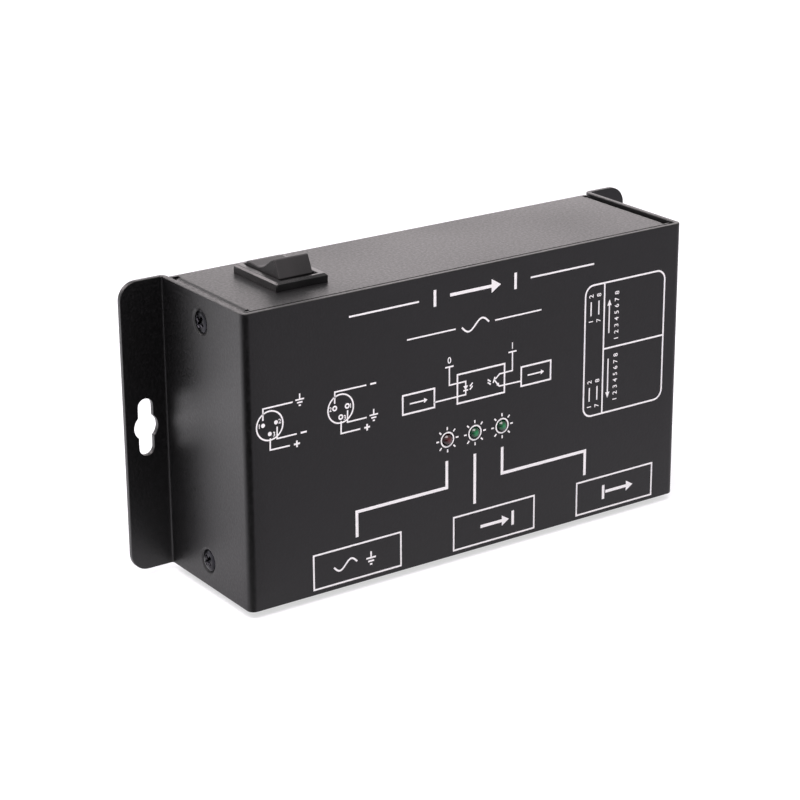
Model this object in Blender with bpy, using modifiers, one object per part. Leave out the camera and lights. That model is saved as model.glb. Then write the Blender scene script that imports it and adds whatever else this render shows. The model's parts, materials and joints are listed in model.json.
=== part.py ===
"""Wall-mounted DMX signal box: folded sheet-metal case, rocker switch, three indicators and its sockets.

Metres, +Z up. The origin is the centre of the back panel's outer face, on the wall plane.
The front panel faces -Y, +X is to the right seen from the front.
The front cover is one sheet folded like a hat: front, two side walls and two wall flanges.
The rear chassis is a U of sheet: top, back and bottom, with four bent tabs that take the cover's screws.
"""

import math

import bmesh
import bpy
from mathutils import Matrix, Vector

MM = 0.001

# Case
BOX_WIDTH = 141 * MM
BOX_HEIGHT = 80 * MM
BOX_DEPTH = 41.5 * MM
SHEET = 1.5 * MM
BEND_INNER = 0.5 * MM
BEND_STEPS = 4
FLANGE_WIDTH = 12.3 * MM
FLANGE_CORNER = 5 * MM
FIT = 0.3 * MM

# Keyholes in the flanges
KEYHOLE_SLOT = 4.4 * MM
KEYHOLE_LENGTH = 15.7 * MM
KEYHOLE_EYE = 7 * MM
KEYHOLE_INSET = 6 * MM

# Chassis
CHASSIS_SIDE_GAP = 0.7 * MM
CHASSIS_RIM_DROP = 0.4 * MM
CHASSIS_FRONT_GAP = 1.3 * MM
TAB_WIDTH = 33 * MM
TAB_LENGTH = 13 * MM
TAB_CORNER = 3 * MM
TAB_RELIEF = 1.2 * MM
TAB_CENTRE_Y = -20.5 * MM

# M3 screws and pressed nuts of the cover
SCREW_DIAMETER = 3 * MM
SCREW_HEAD = 5.9 * MM
SCREW_LENGTH = 8 * MM
SCREW_INSET_Z = 7.3 * MM
COUNTERSINK_ANGLE = math.radians(45)
CROSS_ARM = 3.2 * MM
CROSS_WIDTH = 0.8 * MM
CROSS_DEPTH = 0.9 * MM
NUT_DIAMETER = 6.3 * MM
NUT_HEIGHT = 2.4 * MM

# Rocker switch in the top
SWITCH_X = -BOX_WIDTH / 2 + 25 * MM
SWITCH_Y = -19 * MM
BEZEL_WIDTH = 15.6 * MM
BEZEL_LENGTH = 21.2 * MM
BEZEL_THICKNESS = 2.1 * MM
BEZEL_CHAMFER = 0.5 * MM
SWITCH_BODY_WIDTH = 12.8 * MM
SWITCH_BODY_LENGTH = 19 * MM
SWITCH_BODY_DEPTH = 15 * MM
SWITCH_WELL_DEPTH = 14.4 * MM
SWITCH_WELL_LENGTH = 17.8 * MM
SWITCH_WELL_UPPER = 6.5 * MM
SWITCH_CHAMBER_LENGTH = 14 * MM
SWITCH_CLIP_WIDTH = 8 * MM
SWITCH_CLIP_REACH = 0.9 * MM
SWITCH_CLIP_HEIGHT = 5 * MM
ROCKER_WIDTH = 10.2 * MM
ROCKER_SIDE_GAP = 0.3 * MM
ROCKER_PIVOT_DROP = 3.5 * MM
ROCKER_TILT = math.radians(15)
ROCKER_RIDGE_Y = 7.2 * MM
ROCKER_RIDGE_Z = 6.4 * MM
ROCKER_LIP = 1.8 * MM
ROCKER_LIP_FALL = 0.2 * MM
ROCKER_DISH_Z = 4 * MM
ROCKER_DISH_RADIUS = 8 * MM
ROCKER_FOOT_Y = 8.1 * MM
ROCKER_FOOT_Z = 1.3 * MM
ROCKER_SKIRT_Z = -1.6 * MM
ROCKER_SKIRT_Y = 6.4 * MM
TRUNNION_DIAMETER = 2 * MM
TRUNNION_LENGTH = 0.7 * MM
STEM_DIAMETER = 5.4 * MM
STEM_REACH = 5.6 * MM
STEM_BORE = 3.8 * MM
STEM_BORE_TOP = 1 * MM
PLUNGER_DIAMETER = 3.2 * MM
PLUNGER_TIP = 7.9 * MM
PLUNGER_LENGTH = 4.4 * MM
PLUNGER_SPRING_WIRE = 0.35 * MM
PLUNGER_SPRING_TURNS = 3
SEESAW_WIDTH = 4.4 * MM
SEESAW_HALF_LENGTH = 6.2 * MM
SEESAW_THICKNESS = 0.8 * MM
SEESAW_ARM_ANGLE = math.radians(10)
SEESAW_TILT = math.radians(10)
FULCRUM_HEIGHT = 1.5 * MM
BLADE_WIDTH = 4.8 * MM
BLADE_THICKNESS = 0.8 * MM
BLADE_LENGTH = 8 * MM
BLADE_FRONT_Y = -6.2 * MM
BLADE_EYE = 1.6 * MM

# Indicators in the front
LED_PITCH = 9 * MM
LED_Z = -6.1 * MM
LED_DIAMETER = 3 * MM
LED_COLLAR = 3.8 * MM
LED_COLLAR_THICKNESS = 1 * MM
LED_LENGTH = 5.3 * MM
LED_DOME_STEPS = 4
LED_PROUD = 1.1 * MM
LED_LEG_PITCH = 1.27 * MM
LED_LEG_DIAMETER = 0.5 * MM
SPACER_DIAMETER = 4.4 * MM

# Circuit board on four standoffs
BOARD_THICKNESS = 1.6 * MM
BOARD_LEFT = -BOX_WIDTH / 2 + 8.5 * MM
BOARD_RIGHT = BOX_WIDTH / 2 - 4.5 * MM
BOARD_BOTTOM = -11 * MM
BOARD_TOP = BOX_HEIGHT / 2 - 4 * MM
BOARD_CORNER = 1.5 * MM
BOARD_HOLE_XS = (BOARD_LEFT + 6 * MM, BOARD_RIGHT - 22 * MM)
BOARD_HOLE_ZS = (BOARD_BOTTOM + 4.5 * MM, BOARD_TOP - 4.5 * MM)
STANDOFF_HEIGHT = 5 * MM
STANDOFF_FLATS = 5 * MM
STANDOFF_BORE = 2.6 * MM
BOARD_SCREW_HEAD = 5.4 * MM
BOARD_SCREW_CROWN = 1.8 * MM
BOARD_SCREW_GRIP = 3.4 * MM

# Parts on the board: places are (x, z) in the board's plane
TRANSFORMER_PLACE = (-5 * MM, 21 * MM)
TRANSFORMER_CORE = (20 * MM, 13 * MM, 18 * MM)
TRANSFORMER_LIMB = 3.6 * MM
TRANSFORMER_LEG = 5 * MM
TRANSFORMER_BASE = 1.5 * MM
TRANSFORMER_FOOT = 3 * MM
BULK_CAP_PLACE = (-26 * MM, 23 * MM)
BULK_CAP_DIAMETER = 12.5 * MM
BULK_CAP_LENGTH = 20 * MM
SMALL_CAP_PLACES = ((14 * MM, 29 * MM), (23 * MM, 29 * MM))
SMALL_CAP_DIAMETER = 6.3 * MM
SMALL_CAP_LENGTH = 11 * MM
FUSE_PLACE = (-27 * MM, 0 * MM)
FUSE_LENGTH = 20 * MM
FUSE_DIAMETER = 5 * MM
FUSE_CAP_LENGTH = 5 * MM
FUSE_CAP_WALL = 0.3 * MM
FUSE_HEIGHT = 5.2 * MM
CLIP_WALL = 0.5 * MM
CLIP_WIDTH = 4 * MM
CLIP_FOOT = 2.4 * MM
CLIP_MOUTH = 3 * MM
RECTIFIER_PLACE = (-27 * MM, 9.5 * MM)
RECTIFIER_SIZE = (8.5 * MM, 3.4 * MM, 6.5 * MM)
CONVERTER_PLACE = (17 * MM, 14 * MM)
CONVERTER_SIZE = (19.5 * MM, 10 * MM, 6.5 * MM)
CHIP_PLACES = ((38 * MM, 23 * MM), (38 * MM, 11.5 * MM), (17 * MM, 3.5 * MM))
CHIP_SIZE = (9.6 * MM, 3.4 * MM, 6.4 * MM)
CHIP_LEGS = 8
CHIP_PITCH = 2.54 * MM
CHIP_LEG = 0.6 * MM
CHIP_LIFT = 0.6 * MM
CHIP_NOTCH = 1.6 * MM
RESISTOR_PLACES = ((-12 * MM, 5 * MM), (-12 * MM, 9 * MM), (3 * MM, 5 * MM), (3 * MM, 9 * MM))
RESISTOR_LENGTH = 6.4 * MM
RESISTOR_DIAMETER = 2.4 * MM
HEADER_PITCH = 3 * MM
HEADER_HEIGHT = 7 * MM
HEADER_DEPTH = 6 * MM
HEADER_WALL = 0.9 * MM
HEADER_PIN = 0.7 * MM
HEADER_PIN_HEIGHT = 4 * MM
MAINS_HEADER = (-50 * MM, 2 * MM, 2)
DATA_IN_HEADER = (20.5 * MM, -7 * MM, 3)
DATA_OUT_HEADER = (32.5 * MM, -7 * MM, 3)

# Network sockets in the right wall
JACK_PITCH = 17.8 * MM
JACK_UPPER_Z = 17.5 * MM
JACK_WIDTH = 15.9 * MM
JACK_HEIGHT = 13.4 * MM
JACK_LENGTH = 18 * MM
JACK_CAVITY_WIDTH = 11.8 * MM
JACK_CAVITY_HEIGHT = 7.4 * MM
JACK_CAVITY_DEPTH = 13 * MM
JACK_CAVITY_OFFSET = 0.6 * MM
JACK_LATCH_WIDTHS = (6.2 * MM, 4 * MM)
JACK_LATCH_STEPS = (1.6 * MM, 1.4 * MM)
JACK_CONTACTS = 8
JACK_CONTACT_PITCH = 1.02 * MM
JACK_CONTACT_WIRE = 0.4 * MM
JACK_CONTACT_INSET = 3 * MM
JACK_CONTACT_RISE = 1.6 * MM
JACK_WINDOW_LAP = 0.5 * MM

# Sockets in the bottom panel
SOCKET_Y = -20.5 * MM
SOCKET_FLANGE = 2 * MM
INLET_X = -BOX_WIDTH / 2 + 32.7 * MM
INLET_FLANGE_SIZE = (50 * MM, 24 * MM)
INLET_FLANGE_CORNER = 4 * MM
INLET_BODY_CORNER = 2 * MM
INLET_SCREW_SPAN = 40 * MM
INLET_BODY_SIZE = (27.6 * MM, 20 * MM)
INLET_BODY_TOP = -18 * MM
INLET_CAVITY_SIZE = (24.4 * MM, 16.4 * MM)
INLET_CAVITY_DEPTH = 17.5 * MM
INLET_CAVITY_CHAMFER = 4 * MM
INLET_PIN = (2 * MM, 4 * MM)
INLET_PIN_LENGTH = 15 * MM
INLET_EARTH_EXTRA = 1 * MM
INLET_PIN_SPAN = 14 * MM
INLET_LINE_Y = -2 * MM
INLET_EARTH_Y = 3 * MM
INLET_TAB_LENGTH = 7 * MM
INLET_TAB = (0.8 * MM, 6.3 * MM)
XLR_FLANGE_SIZE = (31 * MM, 26 * MM)
XLR_OUT_X = BOX_WIDTH / 2 - 21.9 * MM
SOCKET_GAPS = XLR_OUT_X - INLET_X - INLET_FLANGE_SIZE[0] / 2 - 1.5 * XLR_FLANGE_SIZE[0]
XLR_IN_X = INLET_X + INLET_FLANGE_SIZE[0] / 2 + XLR_FLANGE_SIZE[0] / 2 + 0.26175 * SOCKET_GAPS
XLR_SCREW_SPAN = (24 * MM, 19 * MM)
XLR_FLANGE_CORNER = 3 * MM
XLR_BARREL = 23.6 * MM
XLR_MALE_MOUTH = 16.2 * MM
XLR_FEMALE_MOUTH = 19.2 * MM
XLR_PLUG = 15.6 * MM
XLR_MOUTH_DEPTH = 15 * MM
XLR_BODY_TOP = -19.6 * MM
XLR_INSERT = 19.6 * MM
XLR_PIN = 2.4 * MM
XLR_PIN_CIRCLE = 5 * MM
XLR_PIN_ANGLES = (210, 330, 90)
XLR_PIN_INSET = 2.5 * MM
XLR_CUP_LENGTH = 5 * MM
XLR_CUP = 2.2 * MM
XLR_CUP_WALL = 0.4 * MM
XLR_BORE = 2.7 * MM
XLR_PLUG_INSET = 1 * MM
XLR_KEY_WIDTH = 3.4 * MM
XLR_KEY_DEPTH = 1.2 * MM
LATCH_WIDTH = 7.4 * MM
LATCH_THICKNESS = 1.4 * MM
LATCH_HOOK = 0.9 * MM
LATCH_HOOK_HEIGHT = 5 * MM
LATCH_PAD = 1.3 * MM
LATCH_PAD_THICKNESS = 1.5 * MM
LATCH_ARM_LENGTH = 14.4 * MM
LATCH_PIVOT = 1.2 * MM
LATCH_PIVOT_REACH = 0.8 * MM
LATCH_SWING = math.radians(6)

# Earth stud on the back panel
EARTH_X = -BOX_WIDTH / 2 + 10.5 * MM
EARTH_Z = -BOX_HEIGHT / 2 + 16 * MM
EARTH_STUD = 4 * MM
EARTH_STUD_LENGTH = 10 * MM
LUG_DIAMETER = 8.4 * MM
LUG_THICKNESS = 0.8 * MM
LUG_NECK = 5 * MM
LUG_NECK_WIDTH = 4 * MM
LUG_CRIMP = 2.8 * MM
EARTH_NUT_FLATS = 7 * MM
EARTH_NUT_HEIGHT = 3.2 * MM

# Wires inside
MAINS_WIRE = 1.9 * MM
DATA_WIRE = 1.3 * MM
SLEEVE_WALL = 0.8 * MM
SLEEVE_LENGTH = 10 * MM
SLEEVE_STANDOFF = 1 * MM
LOOM_SLEEVE = 3.8 * MM
LOOM_SLEEVE_LENGTH = 4 * MM
LOOM_SETBACK = 7 * MM
LOOM_Y = -24.5 * MM
LOOM_Z = -10.4 * MM
LOOM_SPREAD = 0.62
LOOM_TWIST = math.radians(90)

# Places that several pieces share
HALF_WIDTH = BOX_WIDTH / 2
HALF_HEIGHT = BOX_HEIGHT / 2
FRONT_Y = -BOX_DEPTH
FRONT_INSIDE_Y = FRONT_Y + SHEET
WALL_INSIDE_X = HALF_WIDTH - SHEET
KEYHOLE_X = HALF_WIDTH + FLANGE_WIDTH - KEYHOLE_INSET
CHASSIS_X = WALL_INSIDE_X - CHASSIS_SIDE_GAP
CHASSIS_Z = HALF_HEIGHT - CHASSIS_RIM_DROP
CHASSIS_FRONT_Y = FRONT_INSIDE_Y + CHASSIS_FRONT_GAP
BEND_OUTER = BEND_INNER + SHEET
SCREW_Z = HALF_HEIGHT - SCREW_INSET_Z
HOLE = SCREW_DIAMETER + 2 * FIT
BEZEL_TOP = CHASSIS_Z + FIT + BEZEL_THICKNESS
PIVOT = Vector((SWITCH_X, SWITCH_Y, BEZEL_TOP - ROCKER_PIVOT_DROP))
SWITCH_BOTTOM = BEZEL_TOP - BEZEL_THICKNESS - SWITCH_BODY_DEPTH
WELL_FLOOR = BEZEL_TOP - SWITCH_WELL_DEPTH
BOARD_BACK_Y = -SHEET - STANDOFF_HEIGHT - FIT
BOARD_FRONT_Y = BOARD_BACK_Y - BOARD_THICKNESS
ON_BOARD_Y = BOARD_FRONT_Y - FIT
SOLDERED_Y = BOARD_FRONT_Y + BOARD_THICKNESS / 2
HEADER_MOUTH_Y = BOARD_FRONT_Y - HEADER_HEIGHT
HEADER_WIRE_Y = BOARD_FRONT_Y - HEADER_PIN_HEIGHT - FIT
JACK_FACE_X = WALL_INSIDE_X - FIT
JACK_ZS = (JACK_UPPER_Z, JACK_UPPER_Z - JACK_PITCH)
JACK_Y = ON_BOARD_Y - JACK_HEIGHT / 2
FLANGE_TOP_Z = -CHASSIS_Z - FIT
FLANGE_FACE_Z = FLANGE_TOP_Z - SOCKET_FLANGE
XLR_MOUTH_TOP = FLANGE_FACE_Z + XLR_MOUTH_DEPTH
INLET_FLOOR_Z = FLANGE_FACE_Z + INLET_CAVITY_DEPTH
INLET_TAB_TOP = INLET_BODY_TOP + INLET_TAB_LENGTH
DATA_CUP_TOP = XLR_BODY_TOP + XLR_CUP_LENGTH
INLET_SLEEVE_Z = INLET_BODY_TOP + SLEEVE_STANDOFF
SWITCH_SLEEVE_Z = SWITCH_BOTTOM - SLEEVE_STANDOFF

BLACK_COAT = ("powder_coat_black", (0.030, 0.030, 0.032), 0.5, 0.0)
ZINC_BLACK = ("screw_black", (0.025, 0.025, 0.027), 0.35, 0.7)
STEEL = ("zinc_steel", (0.55, 0.55, 0.54), 0.35, 1.0)
BRASS = ("brass", (0.62, 0.48, 0.20), 0.3, 1.0)
TINNED = ("tinned_copper", (0.66, 0.65, 0.62), 0.3, 1.0)
SWITCH_BLACK = ("nylon_black", (0.018, 0.018, 0.019), 0.3, 0.0)
SOCKET_BLACK = ("moulded_black", (0.022, 0.022, 0.024), 0.45, 0.0)
RED_LENS = ("led_red_lens", (0.22, 0.015, 0.02), 0.15, 0.0)
GREEN_LENS = ("led_green_lens", (0.02, 0.16, 0.06), 0.15, 0.0)
BOARD_GREEN = ("board_green", (0.02, 0.12, 0.05), 0.4, 0.0)
FERRITE = ("ferrite", (0.05, 0.05, 0.055), 0.6, 0.0)
TAPE_YELLOW = ("winding_tape", (0.62, 0.47, 0.06), 0.4, 0.0)
CAN_BLACK = ("capacitor_sleeve", (0.03, 0.04, 0.09), 0.35, 0.0)
FUSE_GLASS = ("fuse_body", (0.75, 0.72, 0.65), 0.15, 0.0)
WIRE_BROWN = ("wire_brown", (0.16, 0.06, 0.025), 0.4, 0.0)
WIRE_BLUE = ("wire_blue", (0.03, 0.12, 0.42), 0.4, 0.0)
WIRE_EARTH = ("wire_green_yellow", (0.30, 0.48, 0.05), 0.4, 0.0)
WIRE_GREY = ("wire_grey", (0.35, 0.35, 0.36), 0.4, 0.0)

PARTS = "dmx_signal_box"
CUTTERS = "cutters"


def clear_scene():
    """Removes what the scene holds and makes the two collections."""
    for obj in list(bpy.data.objects):
        bpy.data.objects.remove(obj, do_unlink=True)
    for name in (PARTS, CUTTERS):
        bpy.context.scene.collection.children.link(bpy.data.collections.new(name))


def finish(obj, finish_values):
    """Gives an object its Principled material."""
    name, colour, roughness, metallic = finish_values
    made = bpy.data.materials.get(name) or bpy.data.materials.new(name)
    made.use_nodes = True
    shader = made.node_tree.nodes["Principled BSDF"]
    shader.inputs["Base Color"].default_value = (*colour, 1)
    shader.inputs["Roughness"].default_value = roughness
    shader.inputs["Metallic"].default_value = metallic
    made.diffuse_color = (*colour, 1)
    obj.data.materials.clear()
    obj.data.materials.append(made)
    return obj


def from_bmesh(name, bm):
    """Makes a part object from a bmesh."""
    mesh = bpy.data.meshes.new(name)
    bm.to_mesh(mesh)
    bm.free()
    obj = bpy.data.objects.new(name, mesh)
    bpy.data.collections[PARTS].objects.link(obj)
    return obj


def box(name, size, centre, round_axis=None, radius=0.0, steps=4):
    """A block, with the four edges along round_axis rounded if a radius is given."""
    bm = bmesh.new()
    bmesh.ops.create_cube(bm, size=1)
    bmesh.ops.scale(bm, vec=size, verts=bm.verts)
    if radius:
        along = [e for e in bm.edges if abs((e.verts[0].co - e.verts[1].co)["XYZ".index(round_axis)]) > 1e-9]
        bmesh.ops.bevel(bm, geom=along, offset=radius, segments=steps, profile=0.5, affect="EDGES")
    bmesh.ops.translate(bm, vec=centre, verts=bm.verts)
    return from_bmesh(name, bm)


TURN = {
    "+X": Matrix.Rotation(math.pi / 2, 4, "Y"),
    "-X": Matrix.Rotation(-math.pi / 2, 4, "Y"),
    "+Y": Matrix.Rotation(-math.pi / 2, 4, "X"),
    "-Y": Matrix.Rotation(math.pi / 2, 4, "X"),
    "+Z": Matrix(),
    "-Z": Matrix.Rotation(math.pi, 4, "X"),
}


def cylinder(name, diameter, length, centre, axis="+Z", sides=20, top_diameter=None):
    """A cylinder or cone centred on a point, its top towards the given axis."""
    top = diameter if top_diameter is None else top_diameter
    bm = bmesh.new()
    bmesh.ops.create_cone(
        bm, cap_ends=True, segments=sides, radius1=diameter / 2, radius2=top / 2, depth=length
    )
    bmesh.ops.transform(bm, matrix=Matrix.Translation(centre) @ TURN[axis], verts=bm.verts)
    return from_bmesh(name, bm)


def turned(name, profile, centre, axis="+Z", sides=20):
    """A solid of revolution: profile is (radius, height) from the top down its outer side."""
    bm = bmesh.new()
    points = [bm.verts.new((radius, 0, height)) for radius, height in profile]
    for first, second in zip(points, points[1:]):
        bm.edges.new((first, second))
    if profile[0][0] > 0:
        bm.edges.new((points[-1], points[0]))
    obj = from_bmesh(name, bm)
    screw = obj.modifiers.new("Turn", "SCREW")
    screw.steps = screw.render_steps = sides
    screw.use_merge_vertices = True
    screw.merge_threshold = 1e-5
    obj.matrix_world = Matrix.Translation(centre) @ TURN[axis]
    return obj


def extruded(name, outline, depth, axis, start):
    """A closed outline of 2D points, carried along an axis from start; the outline is in the other two."""
    frames = {
        "X": lambda a, b: (start, a, b),
        "Y": lambda a, b: (a, start, b),
        "Z": lambda a, b: (a, b, start),
    }
    bm = bmesh.new()
    face = bm.faces.new([bm.verts.new(frames[axis](a, b)) for a, b in outline])
    moved = bmesh.ops.extrude_face_region(bm, geom=[face])["geom"]
    along = Vector([depth if letter == axis else 0 for letter in "XYZ"])
    bmesh.ops.translate(bm, vec=along, verts=[v for v in moved if isinstance(v, bmesh.types.BMVert)])
    bmesh.ops.recalc_face_normals(bm, faces=bm.faces)
    return from_bmesh(name, bm)


def rounded(points, radii, steps=4, closed=True):
    """The points of an outline or path with each corner replaced by an arc of its own radius."""
    result = []
    count = len(points)
    for i, (point, radius) in enumerate(zip(points, radii)):
        here = Vector(point)
        if not radius or (not closed and i in (0, count - 1)):
            result.append(here)
            continue
        before = (Vector(points[i - 1]) - here).normalized()
        after = (Vector(points[(i + 1) % count]) - here).normalized()
        half = before.angle(after) / 2
        centre = here + (before + after).normalized() * (radius / math.sin(half))
        start = here + before * (radius / math.tan(half)) - centre
        end = here + after * (radius / math.tan(half)) - centre
        first = math.atan2(start.y, start.x)
        sweep = (math.atan2(end.y, end.x) - first + math.pi) % (2 * math.pi) - math.pi
        for k in range(steps + 1):
            angle = first + sweep * k / steps
            result.append(centre + Vector((radius * math.cos(angle), radius * math.sin(angle))))
    return result


def cut(obj, *cutters):
    """Cuts each cutter from the object with a live Boolean and hides the cutter."""
    for cutter in cutters:
        modifier = obj.modifiers.new("Cut " + cutter.name, "BOOLEAN")
        modifier.operation = "DIFFERENCE"
        modifier.object = cutter
        hide(cutter)
    return obj


def join(obj, *others):
    """Unites each other shape with the object by a live Boolean and hides it."""
    for other in others:
        modifier = obj.modifiers.new("Join " + other.name, "BOOLEAN")
        modifier.operation = "UNION"
        modifier.object = other
        hide(other)
    return obj


def hide(helper):
    """Moves a helper to the cutters' collection, out of the render."""
    if helper.name in bpy.data.collections[PARTS].objects:
        bpy.data.collections[PARTS].objects.unlink(helper)
        bpy.data.collections[CUTTERS].objects.link(helper)
    helper.hide_render = True
    helper.display_type = "WIRE"


def baked(obj):
    """The object's final mesh in world space; the object and its own helpers are removed."""
    bpy.context.view_layer.update()
    graph = bpy.context.evaluated_depsgraph_get()
    mesh = bpy.data.meshes.new_from_object(obj.evaluated_get(graph))
    mesh.transform(obj.matrix_world)
    helpers = [m.object for m in obj.modifiers if m.type == "BOOLEAN"]
    for item in [obj] + helpers:
        bpy.data.objects.remove(item, do_unlink=True)
    return mesh


def as_mesh(name, piece):
    """A curve or a finished shape turned into one plain mesh object, its caps welded."""
    bm = bmesh.new()
    bm.from_mesh(baked(piece))
    bmesh.ops.remove_doubles(bm, verts=bm.verts, dist=1e-6)
    return from_bmesh(name, bm)


def wire(name, points, diameter):
    """A round wire on a smooth curve through the points of its route, with closed ends."""
    curve = bpy.data.curves.new(name, "CURVE")
    curve.dimensions = "3D"
    curve.bevel_depth = diameter / 2
    curve.bevel_resolution = 1
    curve.use_fill_caps = True
    smooth = smooth_route([Vector(p) for p in points])
    spline = curve.splines.new("POLY")
    spline.points.add(len(smooth) - 1)
    for target, point in zip(spline.points, smooth):
        target.co = (*point, 1)
    obj = bpy.data.objects.new(name, curve)
    bpy.data.collections[PARTS].objects.link(obj)
    return obj


def smooth_route(points, steps=2):
    """Points of a Catmull-Rom curve through a wire's own points."""
    ends = [2 * points[0] - points[1]] + points + [2 * points[-1] - points[-2]]
    route = []
    for a, b, c, d in zip(ends, ends[1:], ends[2:], ends[3:]):
        for k in range(steps):
            t = k / steps
            route.append(
                0.5
                * (
                    2 * b
                    + (c - a) * t
                    + (2 * a - 5 * b + 4 * c - d) * t**2
                    + (3 * b - a - 3 * c + d) * t**3
                )
            )
    return route + [points[-1]]


def new_edges(made):
    """The edges of an extrusion's result that join two of its new points."""
    points = {v for v in made if isinstance(v, bmesh.types.BMVert)}
    return [e for e in made if isinstance(e, bmesh.types.BMEdge) and set(e.verts) <= points]


def sheet_strip(path, start, steps):
    """A bmesh of one open surface: a path of 3D points carried along the given steps, one after another."""
    bm = bmesh.new()
    points = [bm.verts.new(Vector(point) + Vector(start)) for point in path]
    edges = [bm.edges.new(pair) for pair in zip(points, points[1:])]
    for step in steps:
        made = bmesh.ops.extrude_edge_only(bm, edges=edges)["geom"]
        bmesh.ops.translate(bm, vec=step, verts=[v for v in made if isinstance(v, bmesh.types.BMVert)])
        edges = new_edges(made)
    return bm


def sheet_metal(name, bm, outward_face, outward):
    """Faces an open surface outwards and gives it the sheet's thickness on its inner side."""
    bmesh.ops.recalc_face_normals(bm, faces=bm.faces)
    bm.normal_update()
    if outward_face(bm).normal.dot(Vector(outward)) < 0:
        bmesh.ops.reverse_faces(bm, faces=bm.faces)
    obj = from_bmesh(name, bm)
    solid = obj.modifiers.new("Sheet thickness", "SOLIDIFY")
    solid.thickness = SHEET
    solid.offset = -1
    solid.use_even_offset = True
    return obj


def round_corners(bm, points, radius):
    """Rounds corner points of an open surface in its own plane."""
    bmesh.ops.bevel(bm, geom=points, offset=radius, segments=6, profile=0.5, affect="VERTICES")


def countersunk(name, tip, axis, length, clearance=0.0, over=0.0):
    """A countersunk M3 shape with its head's face at tip; clearance makes it the hole for one."""
    head = SCREW_HEAD / 2 + clearance
    shank = SCREW_DIAMETER / 2 + clearance
    fall = (head - shank) / math.tan(COUNTERSINK_ANGLE)
    profile = [(0, over), (head, over)] + ([(head, 0)] if over else [])
    profile += [(shank, -fall), (shank, -length), (0, -length)]
    return turned(name, profile, tip, axis, sides=12)


def cross_screw(name, tip, axis, length):
    """A countersunk M3 screw with a cross recess in its head."""
    screw = countersunk(name, tip, axis, length)
    across = {"X": (CROSS_DEPTH * 2, CROSS_ARM, CROSS_WIDTH), "Z": (CROSS_ARM, CROSS_WIDTH, CROSS_DEPTH * 2)}
    for quarter in (math.pi / 4, 3 * math.pi / 4):
        arm = box("arm", across[axis[1]], (0, 0, 0))
        arm.matrix_world = Matrix.Translation(tip) @ Matrix.Rotation(quarter, 4, axis[1])
        cut(screw, arm)
    return finish(screw, ZINC_BLACK)


def cover_screw_tips():
    """The places and axes of the four cover screws in the side walls."""
    sunk = 0.1 * MM
    for side in (-1, 1):
        for level in (-1, 1):
            tip = Vector((side * (HALF_WIDTH - sunk), TAB_CENTRE_Y, level * SCREW_Z))
            yield tip, "+X" if side > 0 else "-X"


def front_face(bm):
    """The face whose middle is farthest to the front."""
    return min(bm.faces, key=lambda f: f.calc_center_median().y)


def back_face(bm):
    """The face whose middle is farthest to the back."""
    return max(bm.faces, key=lambda f: f.calc_center_median().y)


def front_cover():
    """Front, side walls and wall flanges in one folded sheet, with its keyholes and windows."""
    outer = HALF_WIDTH + FLANGE_WIDTH
    corners = [
        (-outer, -SHEET),
        (-HALF_WIDTH, -SHEET),
        (-HALF_WIDTH, FRONT_Y),
        (HALF_WIDTH, FRONT_Y),
        (HALF_WIDTH, -SHEET),
        (outer, -SHEET),
    ]
    radii = [0, BEND_INNER, BEND_OUTER, BEND_OUTER, BEND_INNER, 0]
    path = [(p.x, p.y, 0) for p in rounded(corners, radii, BEND_STEPS, closed=False)]
    bm = sheet_strip(path, (0, 0, -HALF_HEIGHT), [(0, 0, BOX_HEIGHT)])
    round_corners(bm, [v for v in bm.verts if abs(v.co.x) > outer - BEND_INNER / 2], FLANGE_CORNER)
    cover = sheet_metal("front_cover", bm, front_face, (0, -1, 0))
    deep = 4 * SHEET
    for side in (-1, 1):
        middle = (side * KEYHOLE_X, -SHEET / 2, 0)
        slot = (KEYHOLE_SLOT, deep, KEYHOLE_LENGTH)
        cut(
            cover,
            box("keyhole_slot", slot, middle, "Y", 0.49 * KEYHOLE_SLOT),
            cylinder("keyhole_eye", KEYHOLE_EYE, deep, middle, "-Y", sides=24),
        )
    for place in led_xs():
        hole = LED_DIAMETER + 2 * FIT
        cut(cover, cylinder("led_hole", hole, deep, (place, FRONT_Y, LED_Z), "-Y"))
    for tip, axis in cover_screw_tips():
        cut(cover, countersunk("cover_screw_hole", tip, axis, deep, FIT, over=SHEET))
    for z in JACK_ZS:
        window = (deep, JACK_HEIGHT - 2 * JACK_WINDOW_LAP, JACK_WIDTH - 2 * JACK_WINDOW_LAP)
        cut(cover, box("jack_window", window, (HALF_WIDTH - SHEET / 2, JACK_Y, z)))
    return finish(cover, BLACK_COAT)


def led_xs():
    """The three indicators' places across the front."""
    return [step * LED_PITCH for step in (-1, 0, 1)]


def connector_screw_places():
    """(x, y) of every M3 screw in the bottom panel: two for the inlet, two for each signal socket."""
    half = INLET_SCREW_SPAN / 2
    places = [(INLET_X + side * half, SOCKET_Y) for side in (-1, 1)]
    for x in (XLR_IN_X, XLR_OUT_X):
        for side in (-1, 1):
            places.append((x + side * XLR_SCREW_SPAN[0] / 2, SOCKET_Y + side * XLR_SCREW_SPAN[1] / 2))
    return places


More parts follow.
